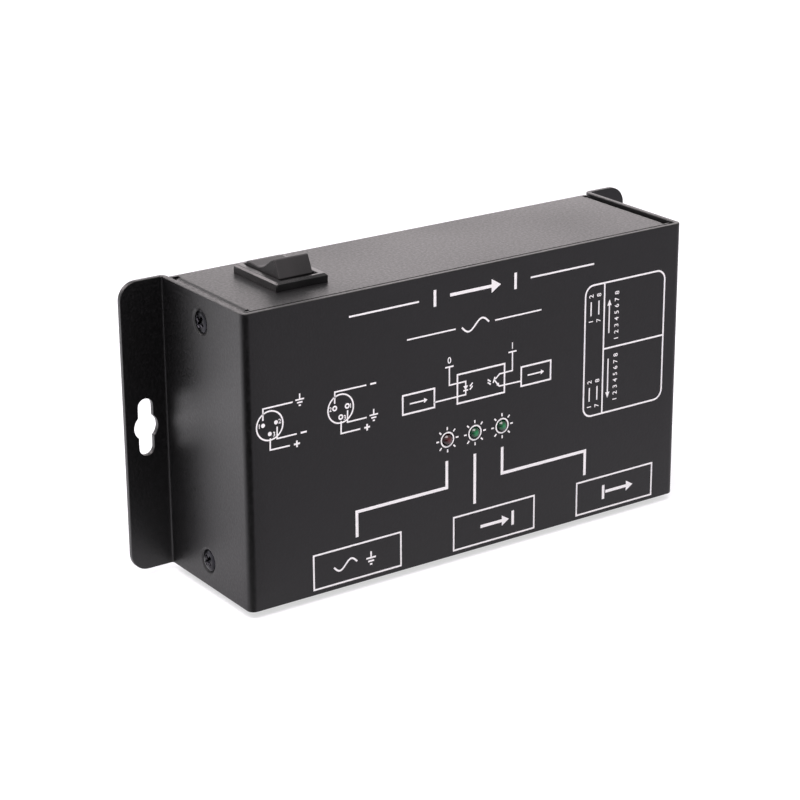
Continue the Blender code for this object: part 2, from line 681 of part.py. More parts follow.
def rear_chassis():
    """The U of sheet: top, back and bottom, with a bent tab at each side of the top and the bottom."""
    front, back = TAB_CENTRE_Y - TAB_WIDTH / 2, TAB_CENTRE_Y + TAB_WIDTH / 2
    stops = [CHASSIS_FRONT_Y, front - TAB_RELIEF, front, back, back + TAB_RELIEF]
    bend = rounded(
        [(stops[-1], CHASSIS_Z), (0, CHASSIS_Z), (0, -CHASSIS_Z), (stops[-1], -CHASSIS_Z)],
        [0, BEND_OUTER, BEND_OUTER, 0],
        BEND_STEPS,
        closed=False,
    )
    path = [(0, y, CHASSIS_Z) for y in stops[:-1]] + [(0, p.x, p.y) for p in bend]
    path += [(0, y, -CHASSIS_Z) for y in reversed(stops[:-1])]
    inner = CHASSIS_X - BEND_OUTER
    bm = sheet_strip(path, (-CHASSIS_X, 0, 0), [(BEND_OUTER, 0, 0), (2 * inner, 0, 0), (BEND_OUTER, 0, 0)])
    notches = []
    for face in bm.faces:
        middle = face.calc_center_median()
        in_bend = abs(middle.x) > inner and abs(middle.z) > CHASSIS_Z - SHEET / 2
        if in_bend and stops[1] < middle.y < stops[-1]:
            notches.append(face)
    bmesh.ops.delete(bm, geom=notches, context="FACES")
    for side in (-1, 1):
        for level in (-1, 1):
            bend_tab(bm, side, level, inner, (front + back) / 2)
    chassis = sheet_metal("rear_chassis", bm, back_face, (0, 1, 0))
    press_in_hardware(chassis)
    cut_chassis(chassis)
    return finish(chassis, BLACK_COAT)


def bend_tab(bm, side, level, inner, middle_y):
    """Folds one tab from the hinge edge at a notch: a quarter turn, then a straight, round-cornered leg."""
    corner = Vector((side * inner, middle_y, level * CHASSIS_Z))
    hinge = min(bm.edges, key=lambda e: ((e.verts[0].co + e.verts[1].co) / 2 - corner).length)
    centre = (side * inner, 0, level * (CHASSIS_Z - BEND_OUTER))
    turned_edge = bmesh.ops.spin(
        bm,
        geom=[hinge, *hinge.verts],
        cent=centre,
        axis=(0, 1, 0),
        angle=side * level * math.pi / 2,
        steps=BEND_STEPS,
    )["geom_last"]
    edges = [e for e in turned_edge if isinstance(e, bmesh.types.BMEdge)]
    made = bmesh.ops.extrude_edge_only(bm, edges=edges)["geom"]
    ends = [v for v in made if isinstance(v, bmesh.types.BMVert)]
    bmesh.ops.translate(bm, vec=(0, 0, -level * (TAB_LENGTH - BEND_OUTER)), verts=ends)
    round_corners(bm, ends, TAB_CORNER)


def press_in_hardware(chassis):
    """Joins what is pressed into the sheet: clinch nuts, the board's hexagonal standoffs, the earth stud."""
    lap = SHEET / 2
    for tip, axis in cover_screw_tips():
        side = math.copysign(1, tip.x)
        middle = side * (CHASSIS_X - SHEET + (lap - NUT_HEIGHT) / 2)
        join(chassis, cylinder("cover_nut", NUT_DIAMETER, NUT_HEIGHT + lap, (middle, tip.y, tip.z), axis, 12))
    for x, y in connector_screw_places():
        middle = -CHASSIS_Z + SHEET + (NUT_HEIGHT - lap) / 2
        join(chassis, cylinder("socket_nut", NUT_DIAMETER, NUT_HEIGHT + lap, (x, y, middle), sides=12))
    across = STANDOFF_FLATS / math.cos(math.pi / 6)
    for x, z in board_places():
        middle = -SHEET + (lap - STANDOFF_HEIGHT) / 2
        join(chassis, cylinder("standoff", across, STANDOFF_HEIGHT + lap, (x, middle, z), "+Y", sides=6))
    middle = -SHEET + (lap - EARTH_STUD_LENGTH) / 2
    stud = EARTH_STUD_LENGTH + lap
    join(chassis, cylinder("earth_stud", EARTH_STUD, stud, (EARTH_X, middle, EARTH_Z), "+Y", sides=16))


def cut_chassis(chassis):
    """The chassis's cut-outs for the switch, the sockets, the cover's, sockets' and board's screws."""
    deep = 4 * SHEET
    for tip, axis in cover_screw_tips():
        cut(chassis, cylinder("tab_hole", HOLE, 4 * deep, tip, axis, sides=12))
    opening = (SWITCH_BODY_WIDTH + 2 * FIT, SWITCH_BODY_LENGTH + 2 * FIT, deep)
    cut(chassis, box("switch_opening", opening, (SWITCH_X, SWITCH_Y, CHASSIS_Z)))
    opening = (INLET_BODY_SIZE[0] + 2 * FIT, INLET_BODY_SIZE[1] + 2 * FIT, deep)
    cut(chassis, box("inlet_opening", opening, (INLET_X, SOCKET_Y, -CHASSIS_Z)))
    for x in (XLR_IN_X, XLR_OUT_X):
        place = (x, SOCKET_Y, -CHASSIS_Z)
        cut(chassis, cylinder("xlr_opening", XLR_BARREL + 2 * FIT, deep, place, sides=32))
    start, end = XLR_OUT_X, latch_places()[1] + latch_swing()
    notch = (end - start, LATCH_WIDTH + 2 * FIT, deep)
    cut(chassis, box("latch_notch", notch, ((start + end) / 2, SOCKET_Y, -CHASSIS_Z)))
    for x, y in connector_screw_places():
        cut(chassis, cylinder("socket_screw_hole", HOLE, 4 * deep, (x, y, -CHASSIS_Z), sides=12))
    for x, z in board_places():
        depth = STANDOFF_HEIGHT
        top = -SHEET - STANDOFF_HEIGHT
        bore = cylinder("standoff_bore", STANDOFF_BORE, 2 * depth, (x, top, z), "+Y", sides=8)
        cut(chassis, bore)


def board_places():
    """(x, z) of the four holes that fasten the board."""
    return [(x, z) for x in BOARD_HOLE_XS for z in BOARD_HOLE_ZS]


def case_screws():
    """The four screws of the cover."""
    for number, (tip, axis) in enumerate(cover_screw_tips(), 1):
        cross_screw(f"cover_screw_{number}", tip, axis, SCREW_LENGTH)


def chamfered_lid(name, size, centre, chamfer):
    """A flat block whose four upper edges are chamfered."""
    bm = bmesh.new()
    bmesh.ops.create_cube(bm, size=1)
    bmesh.ops.scale(bm, vec=size, verts=bm.verts)
    upper = [e for e in bm.edges if all(v.co.z > 0 for v in e.verts)]
    bmesh.ops.bevel(bm, geom=upper, offset=chamfer, segments=1, affect="EDGES")
    bmesh.ops.translate(bm, vec=centre, verts=bm.verts)
    return from_bmesh(name, bm)


def switch_housing():
    """The switch's frame: bezel on the top panel, body below it with the rocker's well and snap clips."""
    lap = 1 * MM
    middle = Vector((SWITCH_X, SWITCH_Y, 0))
    lid = (BEZEL_WIDTH, BEZEL_LENGTH, BEZEL_THICKNESS)
    lid_middle = middle + Vector((0, 0, BEZEL_TOP - BEZEL_THICKNESS / 2))
    housing = chamfered_lid("switch_housing", lid, lid_middle, BEZEL_CHAMFER)
    body = (SWITCH_BODY_WIDTH, SWITCH_BODY_LENGTH, SWITCH_BODY_DEPTH + lap)
    join(housing, box("switch_body", body, middle + Vector((0, 0, SWITCH_BOTTOM + body[2] / 2))))
    clip_top = CHASSIS_Z - SHEET - FIT
    for side in (-1, 1):
        flank = SWITCH_BODY_LENGTH / 2
        wedge = [
            (SWITCH_Y + side * (flank - lap), clip_top),
            (SWITCH_Y + side * (flank + SWITCH_CLIP_REACH), clip_top),
            (SWITCH_Y + side * (flank - lap), clip_top - SWITCH_CLIP_HEIGHT - lap),
        ]
        start = SWITCH_X - SWITCH_CLIP_WIDTH / 2
        join(housing, extruded("switch_clip", wedge, SWITCH_CLIP_WIDTH, "X", start))
    well_width = ROCKER_WIDTH + 2 * ROCKER_SIDE_GAP
    upper = (well_width, SWITCH_WELL_LENGTH, SWITCH_WELL_UPPER + lap)
    chamber_top = BEZEL_TOP - SWITCH_WELL_UPPER + lap
    chamber = (well_width, SWITCH_CHAMBER_LENGTH, chamber_top - WELL_FLOOR)
    cut(
        housing,
        box("switch_well", upper, middle + Vector((0, 0, BEZEL_TOP + lap - upper[2] / 2))),
        box("switch_chamber", chamber, middle + Vector((0, 0, WELL_FLOOR + chamber[2] / 2))),
        cylinder("trunnion_bore", TRUNNION_DIAMETER + 2 * FIT, 2 * SWITCH_BODY_WIDTH, PIVOT, "+X", sides=16),
    )
    for y, _ in blade_places():
        slot = (BLADE_WIDTH + 2 * FIT, BLADE_THICKNESS + 2 * FIT, SWITCH_BODY_DEPTH)
        cut(housing, box("blade_slot", slot, (SWITCH_X, y, WELL_FLOOR - slot[2] / 2 + lap)))
    return finish(housing, SWITCH_BLACK)


def blade_places():
    """(y, top z) of the two terminal blades: the fulcrum in the middle and the contact at the front."""
    top = WELL_FLOOR + FULCRUM_HEIGHT
    return [(SWITCH_Y, top), (SWITCH_Y + BLADE_FRONT_Y, top)]


def switch_blades():
    """The two terminal blades: each stands through the floor and ends in a push-on tab below it."""
    bottom = SWITCH_BOTTOM - BLADE_LENGTH
    for name, (y, top) in zip(("switch_blade_line", "switch_blade_load"), blade_places()):
        size = (BLADE_WIDTH, BLADE_THICKNESS, top - bottom)
        blade = box(name, size, (SWITCH_X, y, (top + bottom) / 2))
        eye = (SWITCH_X, y, bottom + BLADE_LENGTH / 3)
        finish(cut(blade, cylinder("eye", BLADE_EYE, 4 * BLADE_THICKNESS, eye, "+Y", sides=10)), BRASS)


def rocker_outline():
    """The rocker's side profile about its pivot: two lipped ends and a dished top between them."""
    lip = ROCKER_RIDGE_Y - ROCKER_LIP
    half = [
        ((ROCKER_FOOT_Y, ROCKER_FOOT_Z), 0.4 * MM),
        ((ROCKER_RIDGE_Y, ROCKER_RIDGE_Z), 0.6 * MM),
        ((lip, ROCKER_RIDGE_Z - ROCKER_LIP_FALL), 2 * MM),
    ]
    left = [((-y, z), radius) for (y, z), radius in reversed(half)]
    skirt = [((-ROCKER_SKIRT_Y, ROCKER_SKIRT_Z), 0), ((ROCKER_SKIRT_Y, ROCKER_SKIRT_Z), 0)]
    outline = half + [((0, ROCKER_DISH_Z), ROCKER_DISH_RADIUS)] + left + skirt
    return rounded([point for point, _ in outline], [radius for _, radius in outline], steps=4)


def rocker_parts():
    """The rocker with its trunnions and hollow stem, and the sprung plunger inside the stem."""
    rocker = extruded("rocker_cap", rocker_outline(), ROCKER_WIDTH, "X", -ROCKER_WIDTH / 2)
    pin = ROCKER_WIDTH + 2 * TRUNNION_LENGTH
    stem = STEM_REACH + ROCKER_FOOT_Z
    join(
        rocker,
        cylinder("trunnions", TRUNNION_DIAMETER, pin, (0, 0, 0), "+X", sides=16),
        cylinder("stem", STEM_DIAMETER, stem, (0, 0, ROCKER_FOOT_Z - stem / 2)),
    )
    bore = STEM_BORE_TOP + STEM_REACH + 1 * MM
    cut(rocker, cylinder("stem_bore", STEM_BORE, bore, (0, 0, STEM_BORE_TOP - bore / 2), sides=16))
    tip = PLUNGER_DIAMETER / 2
    angles = (0, math.pi / 6, math.pi / 3)
    nose = [(tip * math.cos(a), -PLUNGER_TIP + tip - tip * math.sin(a)) for a in angles]
    crown = -PLUNGER_TIP + PLUNGER_LENGTH
    profile = [(0, crown), (tip, crown)] + nose + [(0, -PLUNGER_TIP)]
    plunger = turned("plunger", profile, (0, 0, 0), sides=16)
    spring = coil("coil", STEM_BORE_TOP - FIT - PLUNGER_SPRING_WIRE, crown + FIT + PLUNGER_SPRING_WIRE)
    seats = (("switch_rocker", rocker, SWITCH_BLACK), ("switch_plunger", plunger, SWITCH_BLACK))
    for name, shape, look in (*seats, ("switch_spring", spring, STEEL)):
        placed = finish(as_mesh(name, shape), look)
        placed.matrix_world = Matrix.Translation(PIVOT) @ Matrix.Rotation(-ROCKER_TILT, 4, "X")


def coil(name, top, bottom):
    """The plunger's compression spring: a helix between two heights about the local Z axis."""
    curve = bpy.data.curves.new(name, "CURVE")
    curve.dimensions = "3D"
    curve.bevel_depth = PLUNGER_SPRING_WIRE / 2
    curve.bevel_resolution = 0
    curve.use_fill_caps = True
    spline = curve.splines.new("POLY")
    per_turn = 8
    count = PLUNGER_SPRING_TURNS * per_turn
    spline.points.add(count)
    radius = PLUNGER_DIAMETER / 2 - PLUNGER_SPRING_WIRE
    for k, point in enumerate(spline.points):
        angle = 2 * math.pi * k / per_turn
        height = bottom + (top - bottom) * k / count
        point.co = (radius * math.cos(angle), radius * math.sin(angle), height, 1)
    obj = bpy.data.objects.new(name, curve)
    bpy.data.collections[PARTS].objects.link(obj)
    return obj


def seesaw_contact():
    """The see-saw contact: a shallow V of sheet brass that tips on the middle blade."""
    a = SEESAW_ARM_ANGLE
    reach = SEESAW_HALF_LENGTH
    rise = SEESAW_THICKNESS / math.cos(a)
    tip = (reach * math.cos(a), reach * math.sin(a))
    end = (tip[0] - SEESAW_THICKNESS * math.sin(a), tip[1] + SEESAW_THICKNESS * math.cos(a))
    outline = [(0, 0), tip, end, (0, rise), (-end[0], end[1]), (-tip[0], tip[1])]
    contact = extruded("switch_contact", outline, SEESAW_WIDTH, "X", -SEESAW_WIDTH / 2)
    seat = Vector((SWITCH_X, SWITCH_Y, WELL_FLOOR + FULCRUM_HEIGHT + FIT))
    contact.matrix_world = Matrix.Translation(seat) @ Matrix.Rotation(SEESAW_TILT, 4, "X")
    return finish(contact, BRASS)


def indicators():
    """The three LEDs with their legs, and the tubes that hold them off the board."""
    looks = (("red", RED_LENS), ("green_middle", GREEN_LENS), ("green_right", GREEN_LENS))
    radius = LED_DIAMETER / 2
    base = FRONT_Y - LED_PROUD + LED_LENGTH
    leg_length = BOARD_FRONT_Y - base
    quarter = [math.pi / 2 * k / LED_DOME_STEPS for k in range(LED_DOME_STEPS + 1)]
    dome = [(radius * math.sin(a), LED_LENGTH - radius + radius * math.cos(a)) for a in quarter]
    collar = LED_COLLAR / 2
    lens = dome + [(radius, LED_COLLAR_THICKNESS), (collar, LED_COLLAR_THICKNESS), (collar, 0), (0, 0)]
    for x, (name, look) in zip(led_xs(), looks):
        led = turned("led_" + name, lens, (x, base, LED_Z), "-Y", sides=16)
        for side in (-1, 1):
            leg = leg_length + radius - FIT
            middle = (x + side * LED_LEG_PITCH, base - radius + leg / 2, LED_Z)
            join(led, cylinder("leg", LED_LEG_DIAMETER, leg, middle, "+Y", sides=4))
        finish(led, look)
        length = ON_BOARD_Y - base - FIT
        centre = (x, ON_BOARD_Y - length / 2, LED_Z)
        tube = cylinder("led_spacer_" + name, SPACER_DIAMETER, length, centre, "+Y", sides=16)
        slot = (2 * LED_LEG_PITCH + LED_LEG_DIAMETER + 2 * FIT, 2 * length, LED_LEG_DIAMETER + 2 * FIT)
        finish(cut(tube, box("leg_slot", slot, centre)), SOCKET_BLACK)


def main_board():
    """The circuit board with its four fixing holes and the small parts soldered to it."""
    size = (BOARD_RIGHT - BOARD_LEFT, BOARD_THICKNESS, BOARD_TOP - BOARD_BOTTOM)
    middle_x, middle_z = (BOARD_RIGHT + BOARD_LEFT) / 2, (BOARD_TOP + BOARD_BOTTOM) / 2
    middle = (middle_x, BOARD_BACK_Y - BOARD_THICKNESS / 2, middle_z)
    board = box("main_board", size, middle, "Y", BOARD_CORNER, steps=3)
    for x, z in board_places():
        cut(board, cylinder("board_hole", HOLE, 4 * BOARD_THICKNESS, (x, BOARD_BACK_Y, z), "+Y", sides=16))
    for place in CHIP_PLACES:
        solder_chip(board, place)
    for place in RESISTOR_PLACES:
        solder_resistor(board, place)
    for place in SMALL_CAP_PLACES:
        join(board, standing_can("can", place, SOLDERED_Y, SMALL_CAP_DIAMETER, SMALL_CAP_LENGTH, 12))
    for values in (MAINS_HEADER, DATA_IN_HEADER, DATA_OUT_HEADER):
        solder_header(board, *values)
    solder_fuse_clips(board)
    return finish(board, BOARD_GREEN)


def board_screws():
    """The four pan-head screws that hold the board on its standoffs."""
    head, crown = BOARD_SCREW_HEAD / 2, BOARD_SCREW_CROWN
    shank = STANDOFF_BORE / 2 - FIT
    end = -BOARD_THICKNESS - BOARD_SCREW_GRIP
    profile = [(0, crown), (0.7 * head, crown), (head, 0.5 * crown), (head, 0)]
    profile += [(shank, 0), (shank, end), (0, end)]
    for number, (x, z) in enumerate(board_places(), 1):
        screw = turned(f"board_screw_{number}", profile, (x, ON_BOARD_Y, z), "-Y", sides=12)
        slot = (2 * head, crown, CROSS_WIDTH)
        cut(screw, box("driver_slot", slot, (x, ON_BOARD_Y - crown, z)))
        finish(screw, STEEL)


def on_board(place, height):
    """The centre of a piece of a given height that stands off the board at (x, z)."""
    return Vector((place[0], ON_BOARD_Y - height / 2, place[1]))


def solder(board, name, size, place):
    """Joins a block of a given size with the board: its height is measured from the board's face."""
    depth = size[1] + SOLDERED_Y - BOARD_FRONT_Y
    return join(board, box(name, (size[0], depth, size[2]), (place[0], SOLDERED_Y - depth / 2, place[1])))


def standing_can(name, place, base_y, diameter, length, sides):
    """An electrolytic capacitor with its crimped waist, standing on the board."""
    r = diameter / 2
    crimp = 0.12 * diameter
    rim = 0.05 * diameter
    profile = [
        (0, length - rim / 2),
        (0.8 * r, length - rim / 2),
        (0.85 * r, length),
        (r, length - rim),
        (r, 2.2 * crimp),
        (0.93 * r, 1.7 * crimp),
        (r, 1.2 * crimp),
        (r, 0),
        (0, 0),
    ]
    return turned(name, profile, (place[0], base_y, place[1]), "-Y", sides)


def power_parts():
    """The mains side of the board: transformer, main capacitor, rectifier and fuse."""
    width, depth, height = TRANSFORMER_CORE
    stand = TRANSFORMER_BASE + FIT
    middle = on_board(TRANSFORMER_PLACE, depth) - Vector((0, stand, 0))
    core = box("transformer_core", (width, depth, TRANSFORMER_LEG), middle)
    windows = (width - 2 * TRANSFORMER_LIMB, depth - 2 * TRANSFORMER_LIMB, 3 * TRANSFORMER_LEG)
    cut(core, box("core_window", windows, middle))
    limb = (TRANSFORMER_LEG, depth - TRANSFORMER_LIMB, TRANSFORMER_LEG)
    finish(join(core, box("core_limb", limb, middle)), FERRITE)
    coil_size = (windows[0] - 2 * FIT, windows[1] - 2 * FIT, height)
    winding = box("transformer_coil", coil_size, middle, "Y", 2.5 * MM, steps=3)
    inner = (TRANSFORMER_LEG + 2 * FIT, 2 * depth, TRANSFORMER_LEG + 2 * FIT)
    finish(cut(winding, box("coil_bore", inner, middle)), TAPE_YELLOW)
    plate = (width, TRANSFORMER_BASE, height)
    base = box("transformer_base", plate, on_board(TRANSFORMER_PLACE, TRANSFORMER_BASE), "Y", 1 * MM, steps=2)
    top = ON_BOARD_Y - TRANSFORMER_BASE / 2
    arm = top - (middle.y + coil_size[1] / 2 + FIT)
    for side in (-1, 1):
        z = middle.z + side * (height / 2 - TRANSFORMER_FOOT / 2)
        foot = (windows[0], arm, TRANSFORMER_FOOT)
        join(base, box("foot", foot, (middle.x, top - arm / 2, z)))
    finish(base, SOCKET_BLACK)
    can = standing_can("bulk_capacitor", BULK_CAP_PLACE, ON_BOARD_Y, BULK_CAP_DIAMETER, BULK_CAP_LENGTH, 20)
    finish(can, CAN_BLACK)
    bridge = box("rectifier", RECTIFIER_SIZE, on_board(RECTIFIER_PLACE, RECTIFIER_SIZE[1]), "Y", 0.8 * MM)
    finish(bridge, SOCKET_BLACK)
    r, waist = FUSE_DIAMETER / 2, FUSE_DIAMETER / 2 - FUSE_CAP_WALL
    half, inner = FUSE_LENGTH / 2, FUSE_LENGTH / 2 - FUSE_CAP_LENGTH
    outer_end = [(0, half), (r, half), (r, inner), (waist, inner)]
    profile = outer_end + [(radius, -height) for radius, height in reversed(outer_end)]
    finish(turned("fuse", profile, fuse_axis(), "+X", sides=16), FUSE_GLASS)


def fuse_axis():
    """The middle of the fuse."""
    return Vector((FUSE_PLACE[0], ON_BOARD_Y - FUSE_HEIGHT, FUSE_PLACE[1]))


def solder_fuse_clips(board):
    """Joins the two spring clips that grip the fuse's caps: each a ring open at the front, on a foot."""
    axis = fuse_axis()
    grip = FUSE_DIAMETER / 2 + FIT
    outer = grip + CLIP_WALL
    for side in (-1, 1):
        x = axis.x + side * (FUSE_LENGTH - FUSE_CAP_LENGTH) / 2
        solder(board, "clip_foot", (CLIP_WIDTH, BOARD_FRONT_Y - axis.y, CLIP_FOOT), (x, axis.z))
        join(board, cylinder("clip", 2 * outer, CLIP_WIDTH, (x, axis.y, axis.z), "+X", sides=12))
        cut(
            board,
            cylinder("grip", 2 * grip, 2 * CLIP_WIDTH, (x, axis.y, axis.z), "+X", sides=12),
            box("mouth", (2 * CLIP_WIDTH, 2 * outer, CLIP_MOUTH), (x, axis.y - outer, axis.z)),
        )


def solder_chip(board, place):
    """Joins an eight-leg chip: its body with a dimple at one end, and a row of legs down each side."""
    length, height, width = CHIP_SIZE
    top = CHIP_LIFT + height
    shoulder = CHIP_LIFT + 0.6 * height
    for side in (-1, 1):
        for k in range(CHIP_LEGS // 2):
            x = place[0] + (k - (CHIP_LEGS / 2 - 1) / 2) * CHIP_PITCH
            z = place[1] + side * (width / 2 + CHIP_LEG / 4)
            solder(board, "chip_leg", (CHIP_LEG, shoulder, CHIP_LEG), (x, z))
    middle = (place[0], BOARD_FRONT_Y - CHIP_LIFT - height / 2, place[1])
    join(board, box("chip", (length, height, width), middle))
    notch = (place[0] - length / 2, BOARD_FRONT_Y - top, place[1])
    cut(board, cylinder("notch", CHIP_NOTCH, CHIP_NOTCH / 2, notch, "-Y", sides=8))


def solder_resistor(board, place):
    """Joins an axial resistor lying over the board on its two bent leads."""
    r, half = RESISTOR_DIAMETER / 2, RESISTOR_LENGTH / 2
    end = [(0, half), (0.7 * r, half), (r, 0.75 * half), (0.85 * r, 0.4 * half)]
    shape = end + [(radius, -height) for radius, height in reversed(end)]
    lift = r + CHIP_LIFT
    axis = (place[0], BOARD_FRONT_Y - lift, place[1])
    for side in (-1, 1):
        x = place[0] + side * half
        solder(board, "resistor_lead", (CHIP_LEG, lift + CHIP_LEG / 2, CHIP_LEG), (x, place[1]))
    join(board, turned("resistor", shape, axis, "+X", sides=8))


def isolated_converter():
    """The converter that feeds the isolated signal side."""
    middle = on_board(CONVERTER_PLACE, CONVERTER_SIZE[1])
    finish(box("isolated_converter", CONVERTER_SIZE, middle, "Y", 0.5 * MM, steps=2), SOCKET_BLACK)


def header_width(count):
    """A header's width for a number of ways."""
    return count * HEADER_PITCH + 2 * HEADER_WALL


def solder_header(board, x, z, count):
    """Joins a wire header: open at the front, with a square pin for each way."""
    size = (header_width(count), HEADER_HEIGHT, HEADER_DEPTH)
    solder(board, "header", size, (x, z))
    floor = BOARD_FRONT_Y - HEADER_WALL
    pocket = (size[0] - 2 * HEADER_WALL, size[1], size[2] - 2 * HEADER_WALL)
    cut(board, box("pocket", pocket, (x, floor - size[1] / 2, z)))
    for k in range(count):
        pin_x = x + (k - (count - 1) / 2) * HEADER_PITCH
        solder(board, "header_pin", (HEADER_PIN, HEADER_PIN_HEIGHT, HEADER_PIN), (pin_x, z))


def network_sockets():
    """The two eight-way sockets behind the right wall, each with its row of sloping contacts."""
    for name, z in zip(("network_in", "network_out"), JACK_ZS):
        middle = Vector((JACK_FACE_X - JACK_LENGTH / 2, JACK_Y, z))
        jack = box(name, (JACK_LENGTH, JACK_HEIGHT, JACK_WIDTH), middle)
        depth = 2 * JACK_CAVITY_DEPTH
        cavity_y = JACK_Y + JACK_CAVITY_OFFSET
        edge = cavity_y - JACK_CAVITY_HEIGHT / 2
        floor = cavity_y + JACK_CAVITY_HEIGHT / 2
        lap = 0.5 * MM
        cavity = (depth, JACK_CAVITY_HEIGHT, JACK_CAVITY_WIDTH)
        cut(jack, box("plug_cavity", cavity, (JACK_FACE_X, cavity_y, z)))
        for width, step in zip(JACK_LATCH_WIDTHS, JACK_LATCH_STEPS):
            channel = (depth, step + lap, width)
            cut(jack, box("latch_channel", channel, (JACK_FACE_X, edge - step / 2 + lap / 2, z)))
            edge -= step
        foot, head = JACK_FACE_X - JACK_CONTACT_INSET, JACK_FACE_X - JACK_CAVITY_DEPTH
        wedge = [(foot, floor + lap), (head - lap, floor + lap)]
        wedge += [(head - lap, floor - JACK_CONTACT_RISE), (foot, floor)]
        for k in range(JACK_CONTACTS):
            at = z + (k - (JACK_CONTACTS - 1) / 2) * JACK_CONTACT_PITCH
            join(jack, extruded("contact", wedge, JACK_CONTACT_WIRE, "Z", at - JACK_CONTACT_WIRE / 2))
        finish(jack, SOCKET_BLACK)


def flange_with_body(name, x, flange_size, corner, body):
    """A socket's outer flange under the bottom panel, joined with the body that passes through the panel."""
    size = (*flange_size, SOCKET_FLANGE)
    flange = box(name, size, (x, SOCKET_Y, FLANGE_FACE_Z + SOCKET_FLANGE / 2), "Z", corner)
    return join(flange, body)


def inlet_pin_places():
    """(name, x, y, extra length) of the line, neutral and earth pins."""
    half = INLET_PIN_SPAN / 2
    line_y = SOCKET_Y + INLET_LINE_Y
    return [
        ("inlet_pin_line", INLET_X - half, line_y, 0),
        ("inlet_pin_neutral", INLET_X + half, line_y, 0),
        ("inlet_pin_earth", INLET_X, SOCKET_Y + INLET_EARTH_Y, INLET_EARTH_EXTRA),
    ]


def power_inlet():
    """The three-pin power inlet: flanged shell with its keyed cavity, and the three pins with their tabs."""
    width, depth = INLET_BODY_SIZE
    foot = FLANGE_TOP_Z - SOCKET_FLANGE / 2
    middle = (INLET_X, SOCKET_Y, (INLET_BODY_TOP + foot) / 2)
    body = box("inlet_shell", (width, depth, INLET_BODY_TOP - foot), middle, "Z", INLET_BODY_CORNER)
    inlet = flange_with_body("power_inlet", INLET_X, INLET_FLANGE_SIZE, INLET_FLANGE_CORNER, body)
    half_x, half_y = INLET_CAVITY_SIZE[0] / 2, INLET_CAVITY_SIZE[1] / 2
    chamfer = INLET_CAVITY_CHAMFER
    half = [(half_x, -half_y), (half_x, half_y - chamfer), (half_x - chamfer, half_y)]
    outline = half + [(-x, y) for x, y in reversed(half)]
    outline = [(INLET_X + x, SOCKET_Y + y) for x, y in outline]
    over = 1 * MM
    cut(inlet, extruded("inlet_cavity", outline, INLET_CAVITY_DEPTH + over, "Z", FLANGE_FACE_Z - over))
    wall = INLET_BODY_TOP - INLET_FLOOR_Z
    for name, x, y, extra in inlet_pin_places():
        slot = (INLET_PIN[0] + 2 * FIT, INLET_PIN[1] + 2 * FIT, wall + 2 * over)
        cut(inlet, box("pin_slot", slot, (x, y, (INLET_BODY_TOP + INLET_FLOOR_Z) / 2)))
        tip, top = INLET_FLOOR_Z - INLET_PIN_LENGTH - extra, INLET_SLEEVE_Z - FIT
        pin = box(name, (*INLET_PIN, top - tip), (x, y, (top + tip) / 2))
        tab_foot = INLET_BODY_TOP + FIT
        tab = (*INLET_TAB, INLET_TAB_TOP - tab_foot)
        finish(join(pin, box("tab", tab, (x, y, (INLET_TAB_TOP + tab_foot) / 2))), TINNED)
    for side in (-1, 1):
        drill(inlet, INLET_X + side * INLET_SCREW_SPAN / 2, SOCKET_Y)
    finish(inlet, SOCKET_BLACK)


def drill(socket, x, y):
    """Cuts a countersunk screw hole through a socket's flange."""
    tip = (x, y, FLANGE_FACE_Z + 0.1 * MM)
    cut(socket, countersunk("flange_hole", tip, "-Z", 3 * SOCKET_FLANGE, FIT, over=SOCKET_FLANGE))


def xlr_shell(name, x, mouth):
    """A signal socket's flanged barrel with its mouth and the pocket for its insert."""
    foot = FLANGE_TOP_Z - SOCKET_FLANGE / 2
    height = XLR_BODY_TOP - foot
    barrel = cylinder("barrel", XLR_BARREL, height, (x, SOCKET_Y, foot + height / 2), sides=32)
    shell = flange_with_body(name, x, XLR_FLANGE_SIZE, XLR_FLANGE_CORNER, barrel)
    over = 1 * MM
    deep = XLR_BODY_TOP - XLR_MOUTH_TOP + over
    depth = XLR_MOUTH_DEPTH + over
    seat = XLR_MOUTH_TOP - FIT
    pocket = cylinder("insert_pocket", XLR_INSERT + 2 * FIT, deep, (x, SOCKET_Y, seat + deep / 2), sides=32)
    cut(shell, cylinder("mouth", mouth, depth, (x, SOCKET_Y, XLR_MOUTH_TOP - depth / 2), sides=32), pocket)
    for side in (-1, 1):
        drill(shell, x + side * XLR_SCREW_SPAN[0] / 2, SOCKET_Y + side * XLR_SCREW_SPAN[1] / 2)
    return shell


def xlr_pin_places(x):
    """(x, y) of a signal socket's three contacts."""
    turns = [math.radians(angle) for angle in XLR_PIN_ANGLES]
    reach = XLR_PIN_CIRCLE
    return [(x + reach * math.cos(turn), SOCKET_Y + reach * math.sin(turn)) for turn in turns]


